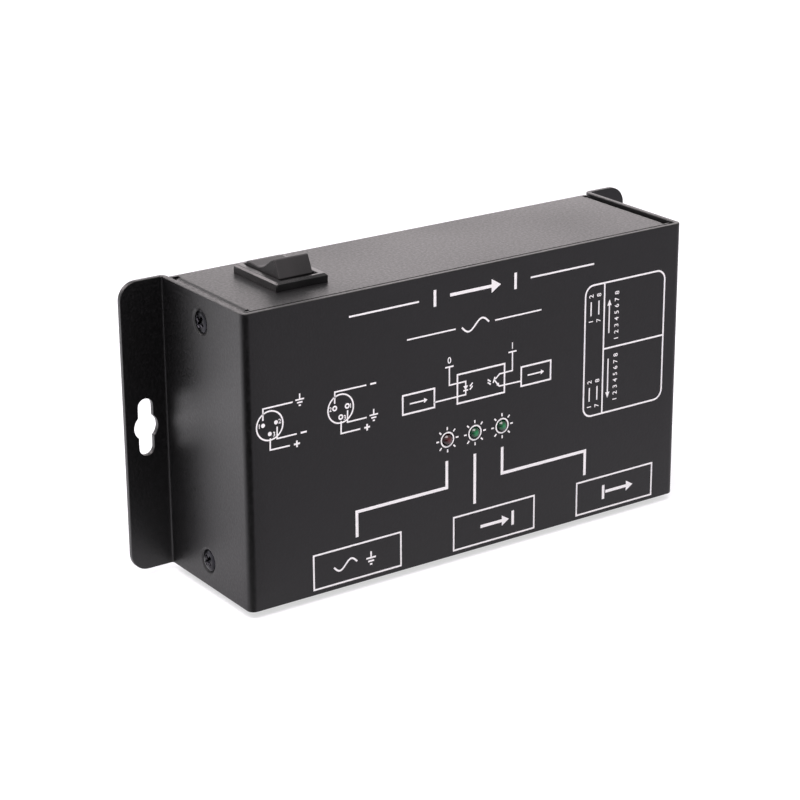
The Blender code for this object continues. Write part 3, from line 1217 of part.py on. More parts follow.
def xlr_in():
    """The input socket: male pins in a round mouth with its keyway, and a solder cup behind each pin."""
    shell = xlr_shell("xlr_in_shell", XLR_IN_X, XLR_MALE_MOUTH)
    key = (2 * XLR_KEY_DEPTH, XLR_KEY_WIDTH, 2 * XLR_MOUTH_DEPTH)
    cut(shell, box("keyway", key, (XLR_IN_X + XLR_MALE_MOUTH / 2, SOCKET_Y, FLANGE_FACE_Z)))
    finish(shell, SOCKET_BLACK)
    low, high = XLR_MOUTH_TOP, XLR_BODY_TOP - FIT
    middle = (XLR_IN_X, SOCKET_Y, (low + high) / 2)
    insert = cylinder("xlr_in_insert", XLR_INSERT, high - low, middle, sides=28)
    r, tip = XLR_PIN / 2, FLANGE_FACE_Z + XLR_PIN_INSET
    cup = XLR_CUP / 2
    bore, floor = cup - XLR_CUP_WALL, DATA_CUP_TOP - XLR_CUP_LENGTH / 2
    profile = [(0, floor), (bore, floor), (bore, DATA_CUP_TOP), (cup, DATA_CUP_TOP), (cup, XLR_BODY_TOP)]
    profile += [(r, XLR_BODY_TOP - FIT), (r, tip + r), (0.7 * r, tip + 0.3 * r), (0, tip)]
    for number, (x, y) in enumerate(xlr_pin_places(XLR_IN_X), 1):
        cut(insert, cylinder("pin_hole", XLR_PIN + 2 * FIT, 4 * (high - low), (x, y, low), sides=16))
        finish(turned(f"xlr_in_pin_{number}", profile, (x, y, 0), sides=12), TINNED)
    finish(insert, SOCKET_BLACK)


def xlr_out():
    """The output socket: a plug-shaped insert with three bores in a round mouth, and its latch."""
    shell = xlr_shell("xlr_out_shell", XLR_OUT_X, XLR_FEMALE_MOUTH)
    cut_latch_slot(shell)
    finish(shell, SOCKET_BLACK)
    low, high = XLR_MOUTH_TOP, XLR_BODY_TOP - FIT
    face = FLANGE_FACE_Z + XLR_PLUG_INSET
    wide, slim = XLR_INSERT / 2, XLR_PLUG / 2
    edge = 0.6 * MM
    profile = [(0, high), (wide, high), (wide, low), (slim, low)]
    profile += [(slim, face + edge), (slim - edge, face), (0, face)]
    insert = turned("xlr_out_insert", profile, (XLR_OUT_X, SOCKET_Y, 0), sides=28)
    depth = XLR_MOUTH_DEPTH - XLR_PIN_INSET
    lap = high - low
    for x, y in xlr_pin_places(XLR_OUT_X):
        cup = XLR_CUP_LENGTH + lap
        join(insert, cylinder("cup", XLR_CUP, cup, (x, y, DATA_CUP_TOP - cup / 2), sides=10))
        cut(insert, cylinder("pin_bore", XLR_BORE, 2 * depth, (x, y, face), sides=12))
    finish(insert, SOCKET_BLACK)
    latch()


def latch_places():
    """The latch's inner and outer faces, its lower and upper ends and its pivot point."""
    inner = XLR_OUT_X + XLR_FEMALE_MOUTH / 2 + FIT
    low = FLANGE_FACE_Z + 0.2 * MM
    high = low + LATCH_ARM_LENGTH
    pivot = Vector((inner + LATCH_THICKNESS / 2, SOCKET_Y, high - 0.9 * MM))
    return inner, inner + LATCH_THICKNESS, low, high, pivot


def latch_swing():
    """How far the latch's lower end swings out, with the play round it."""
    return LATCH_ARM_LENGTH * math.sin(LATCH_SWING) + FIT


def cut_latch_slot(shell):
    """The latch's slot through the flange and the barrel's wall, with its two pivot seats."""
    inner, outer, low, high, pivot = latch_places()
    gap = LATCH_WIDTH + 2 * FIT
    swing = latch_swing()
    start = inner - LATCH_HOOK - 2 * FIT
    wall = outer + swing - start
    upper, lower = high + FIT, low - SHEET
    middle = (start + wall / 2, SOCKET_Y, (upper + lower) / 2)
    cut(shell, box("latch_slot", (wall, gap, upper - lower), middle))
    pad = outer + LATCH_PAD + swing - start
    seat = gap + 2 * (LATCH_PIVOT_REACH + FIT)
    cut(
        shell,
        box("pad_slot", (pad, gap, 4 * SOCKET_FLANGE), (start + pad / 2, SOCKET_Y, FLANGE_FACE_Z)),
        cylinder("pivot_seat", LATCH_PIVOT + 2 * FIT, seat, pivot, "+Y", sides=12),
    )


def latch():
    """The output's sprung latch: a thumb pad, an arm along the barrel and a hook into the mouth."""
    inner, outer, low, high, pivot = latch_places()
    hook = low + LATCH_HOOK_HEIGHT
    tip = inner - FIT - LATCH_HOOK
    outline = [
        (inner, low),
        (outer + LATCH_PAD, low),
        (outer + LATCH_PAD, low + LATCH_PAD_THICKNESS),
        (outer, low + LATCH_PAD_THICKNESS),
        (outer, high),
        (inner, high),
        (inner, hook + 0.6 * MM),
        (tip, hook),
        (tip, hook - 0.6 * MM),
        (inner, hook - 2.6 * MM),
    ]
    local = [(x - pivot.x, z - pivot.z) for x, z in outline]
    arm = extruded("latch_arm", local, LATCH_WIDTH, "Y", -LATCH_WIDTH / 2)
    pin = LATCH_WIDTH + 2 * LATCH_PIVOT_REACH
    join(arm, cylinder("latch_pin", LATCH_PIVOT, pin, (0, 0, 0), "+Y", sides=12))
    made = finish(as_mesh("xlr_latch", arm), STEEL)
    made.location = pivot
    return made


def socket_screws():
    """The six screws of the bottom sockets."""
    for number, (x, y) in enumerate(connector_screw_places(), 1):
        cross_screw(f"socket_screw_{number}", Vector((x, y, FLANGE_FACE_Z + 0.1 * MM)), "-Z", SCREW_LENGTH)


def earth_nut():
    """The nut that holds the earth lug on its stud."""
    middle = (EARTH_X, lug_middle_y() - (LUG_THICKNESS + EARTH_NUT_HEIGHT) / 2 - FIT, EARTH_Z)
    across = EARTH_NUT_FLATS / math.cos(math.pi / 6)
    body = cylinder("earth_nut", across, EARTH_NUT_HEIGHT, middle, "+Y", sides=6)
    bore = cylinder("bore", EARTH_STUD + 2 * FIT, 3 * EARTH_NUT_HEIGHT, middle, "+Y", sides=16)
    finish(cut(body, bore), STEEL)


def lug_middle_y():
    """The middle of the earth lug's thickness, flat against the back panel."""
    return -SHEET - FIT - LUG_THICKNESS / 2


def add_sleeve(lead, x, y, start, direction, tab, depth):
    """Joins a push-on terminal with a wire: its mouth at a start height, slotted to a depth for its tab."""
    grow = 2 * FIT + 2 * SLEEVE_WALL
    size = (tab[0] + grow, tab[1] + grow, SLEEVE_LENGTH)
    join(lead, box("sleeve", size, (x, y, start + direction * SLEEVE_LENGTH / 2), "Z", SLEEVE_WALL, steps=2))
    slot = (tab[0] + 2 * FIT, tab[1] + 2 * FIT, 2 * depth)
    cut(lead, box("tab_slot", slot, (x, y, start)))


def add_inlet_sleeve(lead, x, y):
    """Joins a wire's terminal over one of the inlet's tabs."""
    add_sleeve(lead, x, y, INLET_SLEEVE_Z, 1, INLET_TAB, INLET_TAB_TOP + FIT - INLET_SLEEVE_Z)


def add_switch_sleeve(lead, y):
    """Joins a wire's terminal over one of the switch's blades."""
    tab = (BLADE_WIDTH, BLADE_THICKNESS)
    depth = SWITCH_SLEEVE_Z - SWITCH_BOTTOM + BLADE_LENGTH + FIT
    add_sleeve(lead, SWITCH_X, y, SWITCH_SLEEVE_Z, -1, tab, depth)


def mains_wires():
    """The line, switched line, neutral and earth wires inside the case, each with its crimped terminals."""
    (_, line_x, line_y, _), (_, neutral_x, _, _), (_, earth_x, earth_y, _) = inlet_pin_places()
    lap = 1.5 * MM
    start = INLET_SLEEVE_Z + SLEEVE_LENGTH - lap
    end = SWITCH_SLEEVE_Z - SLEEVE_LENGTH + lap
    (line_blade_y, _), (load_blade_y, _) = blade_places()
    head_x, head_z, _ = MAINS_HEADER
    first, second = head_x - HEADER_PITCH / 2, head_x + HEADER_PITCH / 2
    pin_y = HEADER_WIRE_Y
    line = [
        (line_x, line_y, start),
        (line_x, line_y, start + 3.5 * MM),
        (line_x - 1.5 * MM, line_y + 0.5 * MM, start + 13 * MM),
        (SWITCH_X, line_blade_y - 0.3 * MM, end - 4 * MM),
        (SWITCH_X, line_blade_y, end),
    ]
    lead = as_mesh("line_wire", wire("route", line, MAINS_WIRE))
    add_inlet_sleeve(lead, line_x, line_y)
    add_switch_sleeve(lead, line_blade_y)
    finish(lead, WIRE_BROWN)
    switched = [
        (SWITCH_X, load_blade_y, end),
        (SWITCH_X - 0.5 * MM, load_blade_y, end - 3 * MM),
        (first - 0.5 * MM, load_blade_y - 0.5 * MM, head_z + 6 * MM),
        (first, pin_y - 7 * MM, head_z + 1 * MM),
        (first, pin_y, head_z),
    ]
    lead = as_mesh("switched_line_wire", wire("route", switched, MAINS_WIRE))
    add_switch_sleeve(lead, load_blade_y)
    finish(lead, WIRE_BROWN)
    neutral = [
        (neutral_x, line_y, start),
        (neutral_x - 0.5 * MM, line_y, start + 3 * MM),
        (neutral_x - 5 * MM, line_y + 2.5 * MM, head_z - 3.5 * MM),
        (second + 4.5 * MM, line_y + 3.5 * MM, head_z - 1 * MM),
        (second + 0.6 * MM, pin_y - 3.5 * MM, head_z),
        (second, pin_y, head_z),
    ]
    lead = as_mesh("neutral_wire", wire("route", neutral, MAINS_WIRE))
    add_inlet_sleeve(lead, neutral_x, line_y)
    finish(lead, WIRE_BLUE)
    earth_wire(earth_x, earth_y, start)


def earth_wire(earth_x, earth_y, start):
    """The earth wire with its ring lug under the nut and its terminal on the inlet's earth tab."""
    lug_y = lug_middle_y()
    neck_end = EARTH_X + LUG_DIAMETER / 2 + LUG_NECK
    route = [
        (neck_end - 1.5 * MM, lug_y - 0.4 * MM, EARTH_Z),
        (neck_end + 3 * MM, lug_y - 0.8 * MM, EARTH_Z + 1 * MM),
        (earth_x - 5 * MM, lug_y - 2.6 * MM, BOARD_BOTTOM - 5.5 * MM),
        (earth_x - 1.5 * MM, BOARD_FRONT_Y - 0.6 * MM, BOARD_BOTTOM - 2.2 * MM),
        (earth_x - 0.2 * MM, BOARD_FRONT_Y - 3.2 * MM, BOARD_BOTTOM + 2 * MM),
        (earth_x, earth_y + 3.5 * MM, start + 5 * MM),
        (earth_x, earth_y + 0.5 * MM, start + 4 * MM),
        (earth_x, earth_y, start),
    ]
    lead = as_mesh("earth_wire", wire("route", route, MAINS_WIRE))
    join(lead, cylinder("lug", LUG_DIAMETER, LUG_THICKNESS, (EARTH_X, lug_y, EARTH_Z), "+Y", sides=24))
    neck = (LUG_DIAMETER / 2 + LUG_NECK, LUG_THICKNESS, LUG_NECK_WIDTH)
    join(lead, box("lug_neck", neck, (EARTH_X + neck[0] / 2, lug_y, EARTH_Z)))
    crimp_y = lug_y + LUG_THICKNESS / 2 - LUG_CRIMP / 2
    crimp = (LUG_NECK, LUG_CRIMP, LUG_CRIMP)
    middle = (neck_end - LUG_NECK / 2, crimp_y, EARTH_Z)
    join(lead, box("lug_crimp", crimp, middle, "X", 0.25 * LUG_CRIMP, steps=2))
    eye = (EARTH_X, lug_y, EARTH_Z)
    cut(lead, cylinder("lug_eye", EARTH_STUD + 2 * FIT, 4 * LUG_THICKNESS, eye, "+Y", sides=20))
    add_inlet_sleeve(lead, earth_x, earth_y)
    finish(lead, WIRE_EARTH)


def data_looms():
    """The two three-core looms from the signal sockets' cups to their headers."""
    loom("data_in_loom", XLR_IN_X, DATA_IN_HEADER, 1, (1, 2, 0), (0, 1, 2))
    loom("data_out_loom", XLR_OUT_X, DATA_OUT_HEADER, -1, (2, 1, 0), (0, 1, 2))


def loom(name, socket_x, header, toward, order, ways):
    """Three cores that leave their cups, pass through one heat-shrunk sleeve and fan out to the header."""
    head_x, head_z, count = header
    bundle = Vector((head_x - toward * LOOM_SETBACK, LOOM_Y, LOOM_Z))
    half = Vector((toward * LOOM_SLEEVE_LENGTH / 2, 0, 0))
    sleeve = cylinder(name, LOOM_SLEEVE, LOOM_SLEEVE_LENGTH, bundle, "+X", sides=12)
    for (x, y), place, way in zip(xlr_pin_places(socket_x), order, ways):
        angle = 2 * math.pi * place / count + LOOM_TWIST
        spread = DATA_WIRE * LOOM_SPREAD
        offset = Vector((0, spread * math.cos(angle), spread * math.sin(angle)))
        pin_x = head_x + toward * (way - (count - 1) / 2) * HEADER_PITCH
        entry, leave = bundle + offset - half, bundle + offset + half
        cup = Vector((x, y, DATA_CUP_TOP + FIT))
        pin = Vector((pin_x, HEADER_WIRE_Y, head_z))
        route = [cup, cup + Vector((0, 0, 1.2 * MM))]
        gap = abs(entry.x - x)
        if gap > 4 * MM:
            route.append(Vector((x + 0.35 * (entry.x - x), y + 0.4 * (entry.y - y), entry.z - 0.4 * MM)))
        route += [entry, leave]
        route.append(Vector((pin_x, HEADER_MOUTH_Y - 2.5 * MM, head_z - 0.4 * MM)))
        route += [pin - Vector((0, 2 * MM, 0)), pin]
        join(sleeve, as_mesh("core", wire("core_route", route, DATA_WIRE)))
    finish(sleeve, WIRE_GREY)


def build():
    """Builds the whole object."""
    clear_scene()
    front_cover()
    rear_chassis()
    case_screws()
    switch_housing()
    switch_blades()
    rocker_parts()
    seesaw_contact()
    indicators()
    main_board()
    board_screws()
    power_parts()
    isolated_converter()
    network_sockets()
    power_inlet()
    xlr_in()
    xlr_out()
    socket_screws()
    earth_nut()
    mains_wires()
    data_looms()


build()
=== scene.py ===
"""Looks of a wall-mounted signal box: folded case, rocker switch, indicators, printed front and sockets.

Metres, +Z up. The origin is the centre of the back panel's outer face and the front faces -Y.
"""

import json
import logging
import math
from abc import ABC, abstractmethod
from collections.abc import Callable, Sequence
from dataclasses import dataclass, field
from enum import Enum

import bmesh
import bpy
import numpy as np
from mathutils import Matrix, Vector


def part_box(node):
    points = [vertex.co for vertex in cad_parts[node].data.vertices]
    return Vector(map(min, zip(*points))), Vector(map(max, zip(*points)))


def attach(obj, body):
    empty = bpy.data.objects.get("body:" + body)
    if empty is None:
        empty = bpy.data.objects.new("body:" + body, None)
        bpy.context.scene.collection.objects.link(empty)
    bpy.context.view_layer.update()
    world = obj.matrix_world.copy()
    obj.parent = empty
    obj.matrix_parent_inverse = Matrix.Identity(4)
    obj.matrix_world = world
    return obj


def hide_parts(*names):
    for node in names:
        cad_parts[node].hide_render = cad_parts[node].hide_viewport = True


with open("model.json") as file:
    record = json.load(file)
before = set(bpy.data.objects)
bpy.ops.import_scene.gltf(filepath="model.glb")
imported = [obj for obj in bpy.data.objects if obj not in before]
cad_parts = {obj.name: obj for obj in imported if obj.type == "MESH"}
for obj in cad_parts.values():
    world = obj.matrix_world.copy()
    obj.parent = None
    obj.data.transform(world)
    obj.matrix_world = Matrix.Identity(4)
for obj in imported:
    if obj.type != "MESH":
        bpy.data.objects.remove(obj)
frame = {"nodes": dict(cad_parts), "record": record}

MM = 0.001
# A noise of scale s has lumps about 0.5 / s across, and each finer octave keeps this share of the one before.
LUMP = 0.5
OCTAVE = 0.55
# The middle band of a noise's values, stretched to the whole of what the noise drives.
MIDDLE = {"From Min": 0.35, "From Max": 0.65}
# A wave texture of scale s has crests about 0.31 / s apart.
CRESTS = 0.31
# Places nearer than this, in metres, are one.
TOUCH = 1e-7
LOG = logging.getLogger("signal_box")
Colour = tuple[float, float, float, float]
Point2 = tuple[float, float]
Outline = Callable[[np.ndarray], np.ndarray]


class Body(str, Enum):
    """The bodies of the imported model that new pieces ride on."""

    CASE = "case"
    ROCKER = "rocker"
    LATCH = "latch"


class Kind(str, Enum):
    """Blender's names of the node types in use."""

    PLACE = "ShaderNodeTexCoord"
    MAPPING = "ShaderNodeMapping"
    NOISE = "ShaderNodeTexNoise"
    BRICK = "ShaderNodeTexBrick"
    WAVE = "ShaderNodeTexWave"
    RANGE = "ShaderNodeMapRange"
    MIX = "ShaderNodeMix"
    MATH = "ShaderNodeMath"
    VECTOR = "ShaderNodeVectorMath"
    SPLIT = "ShaderNodeSeparateXYZ"
    BUMP = "ShaderNodeBump"
    RAYS = "ShaderNodeLightPath"
    PRINCIPLED = "ShaderNodeBsdfPrincipled"
    DIFFUSE = "ShaderNodeBsdfDiffuse"
    EMISSION = "ShaderNodeEmission"
    SUM = "ShaderNodeAddShader"
    BACKGROUND = "ShaderNodeBackground"
    SURFACE = "ShaderNodeOutputMaterial"
    WORLD = "ShaderNodeOutputWorld"


# ------------ shader helpers


def linear(code: str) -> Colour:
    """Turn an sRGB hex colour into linear light.

    Args:
        code: six hex digits after a hash sign.

    Returns:
        Red, green, blue and an alpha of one.
    """
    channels = np.array([int(code[i : i + 2], 16) for i in (1, 3, 5)]) / 255
    low, high = channels / 12.92, ((channels + 0.055) / 1.055) ** 2.4
    return (*np.where(channels <= 0.04045, low, high).tolist(), 1.0)


def add_node(
    tree: bpy.types.NodeTree, kind: Kind, inputs: dict[str | int, object] | None = None, **settings: object
) -> bpy.types.Node:
    """Add one node with its settings, values and links.

    Args:
        tree: the node tree that gets it.
        kind: the node's type.
        inputs: for each input, a value or the output socket that feeds it.
        settings: the node's own properties.

    Returns:
        The new node.
    """
    node = tree.nodes.new(kind.value)
    for name, value in settings.items():
        setattr(node, name, value)
    for key, value in (inputs or {}).items():
        if isinstance(value, bpy.types.NodeSocket):
            tree.links.new(value, node.inputs[key])
        else:
            node.inputs[key].default_value = value
    return node


# ------------ mesh helpers


def mesh_object(name: str, points: np.ndarray, faces: list | np.ndarray) -> bpy.types.Object:
    """Put arrays of points and faces into a new object at the origin.

    Args:
        name: the object's name.
        points: an (n, 3) array in metres.
        faces: lists of point numbers, counter-clockwise seen from outside.

    Returns:
        The object, linked to the scene.
    """
    mesh = bpy.data.meshes.new(name)
    mesh.from_pydata(np.asarray(points, float).tolist(), [], [list(map(int, f)) for f in faces])
    mesh.validate()
    piece = bpy.data.objects.new(name, mesh)
    bpy.context.scene.collection.objects.link(piece)
    return piece


def grid_faces(rows: int, columns: int, wrap: bool = False) -> np.ndarray:
    """Quads of a grid of points that is numbered row by row.

    Args:
        rows: how many rows of points.
        columns: how many points in a row.
        wrap: whether each row's end joins its start.

    Returns:
        An (n, 4) array of point numbers.
    """
    across = columns if wrap else columns - 1
    r, c = np.meshgrid(np.arange(rows - 1), np.arange(across), indexing="ij")
    right = (c + 1) % columns
    corners = (r * columns + c, r * columns + right, (r + 1) * columns + right, (r + 1) * columns + c)
    return np.stack([k.ravel() for k in corners], axis=1)


def merged(points: np.ndarray, faces: np.ndarray, nearest: float = TOUCH) -> tuple[np.ndarray, np.ndarray]:
    """Make points that share a place into one, and drop faces that lose their area.

    Args:
        points: an (n, 3) array.
        faces: an (m, k) array of point numbers.
        nearest: points whose rounded places agree to this distance are one.

    Returns:
        The points left and the faces renumbered.
    """
    keys = np.round(points / nearest).astype(np.int64)
    _, first, inverse = np.unique(keys, axis=0, return_index=True, return_inverse=True)
    faces = inverse.reshape(-1)[faces]
    kept = [list(dict.fromkeys(f)) for f in faces.tolist()]
    return points[first], [f for f in kept if len(f) > 2]


def softened_sheet(
    piece: bpy.types.Object, width: float, angle: float = 40.0, share: float = 0.45
) -> bpy.types.Object:
    """Round a sheet's cut edges: each by the width, or by a share of the shortest plain edge at its ends.

    Args:
        piece: the sheet, with its thickness in its mesh.
        width: the rounding's width in metres.
        angle: edges that turn by more degrees than this are rounded.
        share: the most of a plain edge that a rounding takes up.

    Returns:
        The same object.
    """
    graph = bmesh.new()
    graph.from_mesh(piece.data)
    weight = graph.edges.layers.float.new("bevel_weight_edge")
    limit = math.radians(angle)
    sharp = {edge for edge in graph.edges if len(edge.link_faces) == 2 and edge.calc_face_angle() > limit}
    for edge in sharp:
        near = {other for corner in edge.verts for other in corner.link_edges} - sharp
        edge[weight] = min(1.0, share * min((other.calc_length() for other in near), default=width) / width)
    graph.to_mesh(piece.data)
    graph.free()
    bevel = piece.modifiers.new("edges", "BEVEL")
    bevel.width = width
    bevel.segments = 2
    bevel.limit_method = "WEIGHT"
    bevel.use_clamp_overlap = False
    bevel.harden_normals = True
    shaded_smooth(piece)
    return fixed_modifiers(piece)


def shaded_smooth(piece: bpy.types.Object) -> None:
    """Shade every face of the piece smooth."""
    piece.data.polygons.foreach_set("use_smooth", np.ones(len(piece.data.polygons), bool))


def fixed_modifiers(piece: bpy.types.Object) -> bpy.types.Object:
    """Apply a piece's modifiers, so that its mesh is what shows.

    Args:
        piece: the object.

    Returns:
        The same object with its finished mesh.
    """
    bpy.context.view_layer.update()
    graph = bpy.context.evaluated_depsgraph_get()
    made = bpy.data.meshes.new_from_object(piece.evaluated_get(graph), depsgraph=graph)
    piece.modifiers.clear()
    old = piece.data
    piece.data = made
    made.name = piece.name
    bpy.data.meshes.remove(old)
    return piece


def flat_sided(piece: bpy.types.Object) -> bpy.types.Object:
    """Shade a piece so that its large faces stay flat and only the small faces between them round off.

    Args:
        piece: the object.

    Returns:
        The same object with its finished mesh.
    """
    shaded_smooth(piece)
    piece.modifiers.new("flat_sides", "WEIGHTED_NORMAL").weight = 100
    return fixed_modifiers(piece)


def axis_turn(axis: str) -> np.ndarray:
    """Rotation that carries +Z to a named axis.

    Args:
        axis: one of +X, -X, +Y, -Y, +Z, -Z.

    Returns:
        A 3 by 3 matrix.
    """
    way = [0, 0, 0]
    way["XYZ".index(axis[1])] = -1 if axis[0] == "-" else 1
    return np.array(Vector((0, 0, 1)).rotation_difference(Vector(way)).to_matrix())


def turned(
    name: str, profile: Sequence[Point2], place: Sequence[float], axis: str = "+Z", sides: int = 48
) -> bpy.types.Object:
    """Surface of revolution: a profile (radius, height) swept round its axis to (r cos a, r sin a, h).

    Args:
        name: the object's name.
        profile: (radius, height) pairs; a radius of zero closes a pole.
        place: where the profile's origin goes.
        axis: the way that the profile's height runs.
        sides: how many steps there are round the axis.

    Returns:
        The object.
    """
    line = np.array(profile, float)
    angle = np.linspace(0, 2 * math.pi, sides, endpoint=False)
    radius, height = line[:, :1], np.repeat(line[:, 1:], sides, axis=1)
    points = np.stack([radius * np.cos(angle), radius * np.sin(angle), height], axis=-1).reshape(-1, 3)
    points, faces = merged(points, grid_faces(len(line), sides, wrap=True))
    return mesh_object(name, points @ axis_turn(axis).T + np.array(place), faces)


# ------------ finishes


@dataclass(frozen=True)
class Finish(ABC):
    """One real surface finish; material() builds it once and hands out the same material afterwards."""

    title: str
    slot: str

    def material(self) -> bpy.types.Material:
        """The finish as a Blender material, made on first use.

        Returns:
            The material.
        """
        known = bpy.data.materials.get(self.title)
        if known is not None:
            return known
        made = bpy.data.materials.new(self.title)
        made.use_nodes = True
        tree = made.node_tree
        tree.nodes.clear()
        where = add_node(tree, Kind.PLACE).outputs["Object"]
        shader = self.shade(tree, where)
        add_node(tree, Kind.SURFACE, {"Surface": shader.outputs[0]})
        return made

    @abstractmethod
    def shade(self, tree: bpy.types.NodeTree, where: bpy.types.NodeSocket) -> bpy.types.Node:
        """Build the shader.

        Args:
            tree: the material's node tree.
            where: object coordinates in metres.

        Returns:
            The node whose first output is the surface.
        """

    def dress(self, piece: bpy.types.Object) -> None:
        """Give a new piece this finish.

        Args:
            piece: the object.
        """
        piece.data.materials.clear()
        piece.data.materials.append(self.material())


@dataclass(frozen=True)
class PowderCoat(Finish):
    """Polyester powder coat, baked: satin black with a fine orange-peel grain that sparkles at an angle."""

    colour: str = "#050506"
    fleck: str = "#121214"
    grit: float = 0.36 * MM  # coarser than the real 0.1 mm grain, so that it shows in the render
    cloud: float = 26 * MM
    roughness: float = 0.42
    grit_gloss: tuple[float, float] = (-0.05, 0.06)
    cloud_gloss: tuple[float, float] = (-0.02, 0.03)
    relief: float = 0.62
    depth: float = 0.06 * MM
    index: float = 1.52

    def shade(self, tree: bpy.types.NodeTree, where: bpy.types.NodeSocket) -> bpy.types.Node:
        """Fine grain lifts the colour, the gloss and the bump; broad noise keeps large faces from being even.

        Args:
            tree: the material's node tree.
            where: object coordinates in metres.

        Returns:
            The shader node.
        """
        grit = {"Vector": where, "Scale": LUMP / self.grit, "Detail": 3, "Roughness": OCTAVE}
        fine = add_node(tree, Kind.NOISE, grit).outputs["Fac"]
        cloud = {"Vector": where, "Scale": LUMP / self.cloud, "Detail": 1, "Roughness": OCTAVE}
        broad = add_node(tree, Kind.NOISE, cloud).outputs["Fac"]
        peaks = {"Value": fine, "From Min": 0.5, "From Max": 0.78}
        flecks = add_node(tree, Kind.RANGE, peaks).outputs["Result"]
        blend = {"Factor": flecks, "A": linear(self.colour), "B": linear(self.fleck)}
        colour = add_node(tree, Kind.MIX, blend, data_type="RGBA").outputs["Result"]
        level = {"To Min": self.grit_gloss[0], "To Max": self.grit_gloss[1]}
        grains = add_node(tree, Kind.RANGE, {"Value": fine, **MIDDLE, **level}).outputs[0]
        low, high = self.cloud_gloss
        level = {"To Min": self.roughness + low, "To Max": self.roughness + high}
        clouds = add_node(tree, Kind.RANGE, {"Value": broad, **MIDDLE, **level}).outputs[0]
        gloss = add_node(tree, Kind.MATH, {0: grains, 1: clouds}, operation="ADD").outputs[0]
        bump = add_node(tree, Kind.BUMP, {"Height": fine, "Strength": self.relief, "Distance": self.depth})
        inputs = {"Base Color": colour, "Roughness": gloss, "Normal": bump.outputs[0], "IOR": self.index}
        return add_node(tree, Kind.PRINCIPLED, inputs)


@dataclass(frozen=True)
class PlatedMetal(Finish):
    """Barrel-plated metal: an even metallic colour with small handling marks and a soft, uneven gloss."""

    colour: str = "#9a9a98"
    shade_colour: str = "#7f8081"
    roughness: float = 0.3
    mark: float = 0.6 * MM
    cloud: float = 2.5 * MM
    gloss: tuple[float, float] = (-0.07, 0.1)
    relief: float = 0.12
    depth: float = 0.02 * MM

    def shade(self, tree: bpy.types.NodeTree, where: bpy.types.NodeSocket) -> bpy.types.Node:
        """Two noises: the broad one clouds the colour, the fine one marks the gloss and the skin.

        Args:
            tree: the material's node tree.
            where: object coordinates in metres.

        Returns:
            The shader node.
        """
        broad = {"Vector": where, "Scale": LUMP / self.cloud, "Detail": 2, "Roughness": OCTAVE}
        cloud = add_node(tree, Kind.NOISE, broad).outputs["Fac"]
        fine = {"Vector": where, "Scale": LUMP / self.mark, "Detail": 4, "Roughness": OCTAVE}
        marks = add_node(tree, Kind.NOISE, fine).outputs["Fac"]
        amount = add_node(tree, Kind.RANGE, {"Value": cloud, **MIDDLE}).outputs["Result"]
        blend = {"Factor": amount, "A": linear(self.colour), "B": linear(self.shade_colour)}
        colour = add_node(tree, Kind.MIX, blend, data_type="RGBA").outputs["Result"]
        level = {"To Min": self.roughness + self.gloss[0], "To Max": self.roughness + self.gloss[1]}
        gloss = add_node(tree, Kind.RANGE, {"Value": marks, **MIDDLE, **level}).outputs["Result"]
        bump = add_node(tree, Kind.BUMP, {"Height": marks, "Strength": self.relief, "Distance": self.depth})
        inputs = {"Base Color": colour, "Metallic": 1.0, "Roughness": gloss, "Normal": bump.outputs[0]}
        return add_node(tree, Kind.PRINCIPLED, inputs)


@dataclass(frozen=True)
class MouldedPlastic(Finish):
    """Injection-moulded plastic: even colour, a spark-eroded or polished skin and slight waves in it."""

    colour: str = "#151516"
    roughness: float = 0.35
    texture: float = 0.18 * MM
    relief: float = 0.15
    index: float = 1.53
    wave: float = 5 * MM
    lift: tuple[float, float] = (1.35, 0.002)
    gloss: tuple[float, float] = (-0.04, 0.05)
    depth: float = 0.04 * MM

    def shade(self, tree: bpy.types.NodeTree, where: bpy.types.NodeSocket) -> bpy.types.Node:
        """A fine texture gives the skin its bump, and a wide wave varies gloss and colour a little.

        Args:
            tree: the material's node tree.
            where: object coordinates in metres.

        Returns:
            The shader node.
        """
        fine = {"Vector": where, "Scale": LUMP / self.texture, "Detail": 3, "Roughness": OCTAVE}
        skin = add_node(tree, Kind.NOISE, fine).outputs["Fac"]
        broad = {"Vector": where, "Scale": LUMP / self.wave, "Detail": 1, "Roughness": OCTAVE}
        wave = add_node(tree, Kind.NOISE, broad).outputs["Fac"]
        base = linear(self.colour)
        lighter = (*[min(1.0, c * self.lift[0] + self.lift[1]) for c in base[:3]], 1.0)
        amount = add_node(tree, Kind.RANGE, {"Value": wave, **MIDDLE}).outputs["Result"]
        blend = {"Factor": amount, "A": base, "B": lighter}
        colour = add_node(tree, Kind.MIX, blend, data_type="RGBA").outputs["Result"]
        level = {"To Min": self.roughness + self.gloss[0], "To Max": self.roughness + self.gloss[1]}
        gloss = add_node(tree, Kind.RANGE, {"Value": wave, **MIDDLE, **level}).outputs["Result"]
        bump = add_node(tree, Kind.BUMP, {"Height": skin, "Strength": self.relief, "Distance": self.depth})
        inputs = {"Base Color": colour, "Roughness": gloss, "Normal": bump.outputs[0], "IOR": self.index}
        return add_node(tree, Kind.PRINCIPLED, inputs)


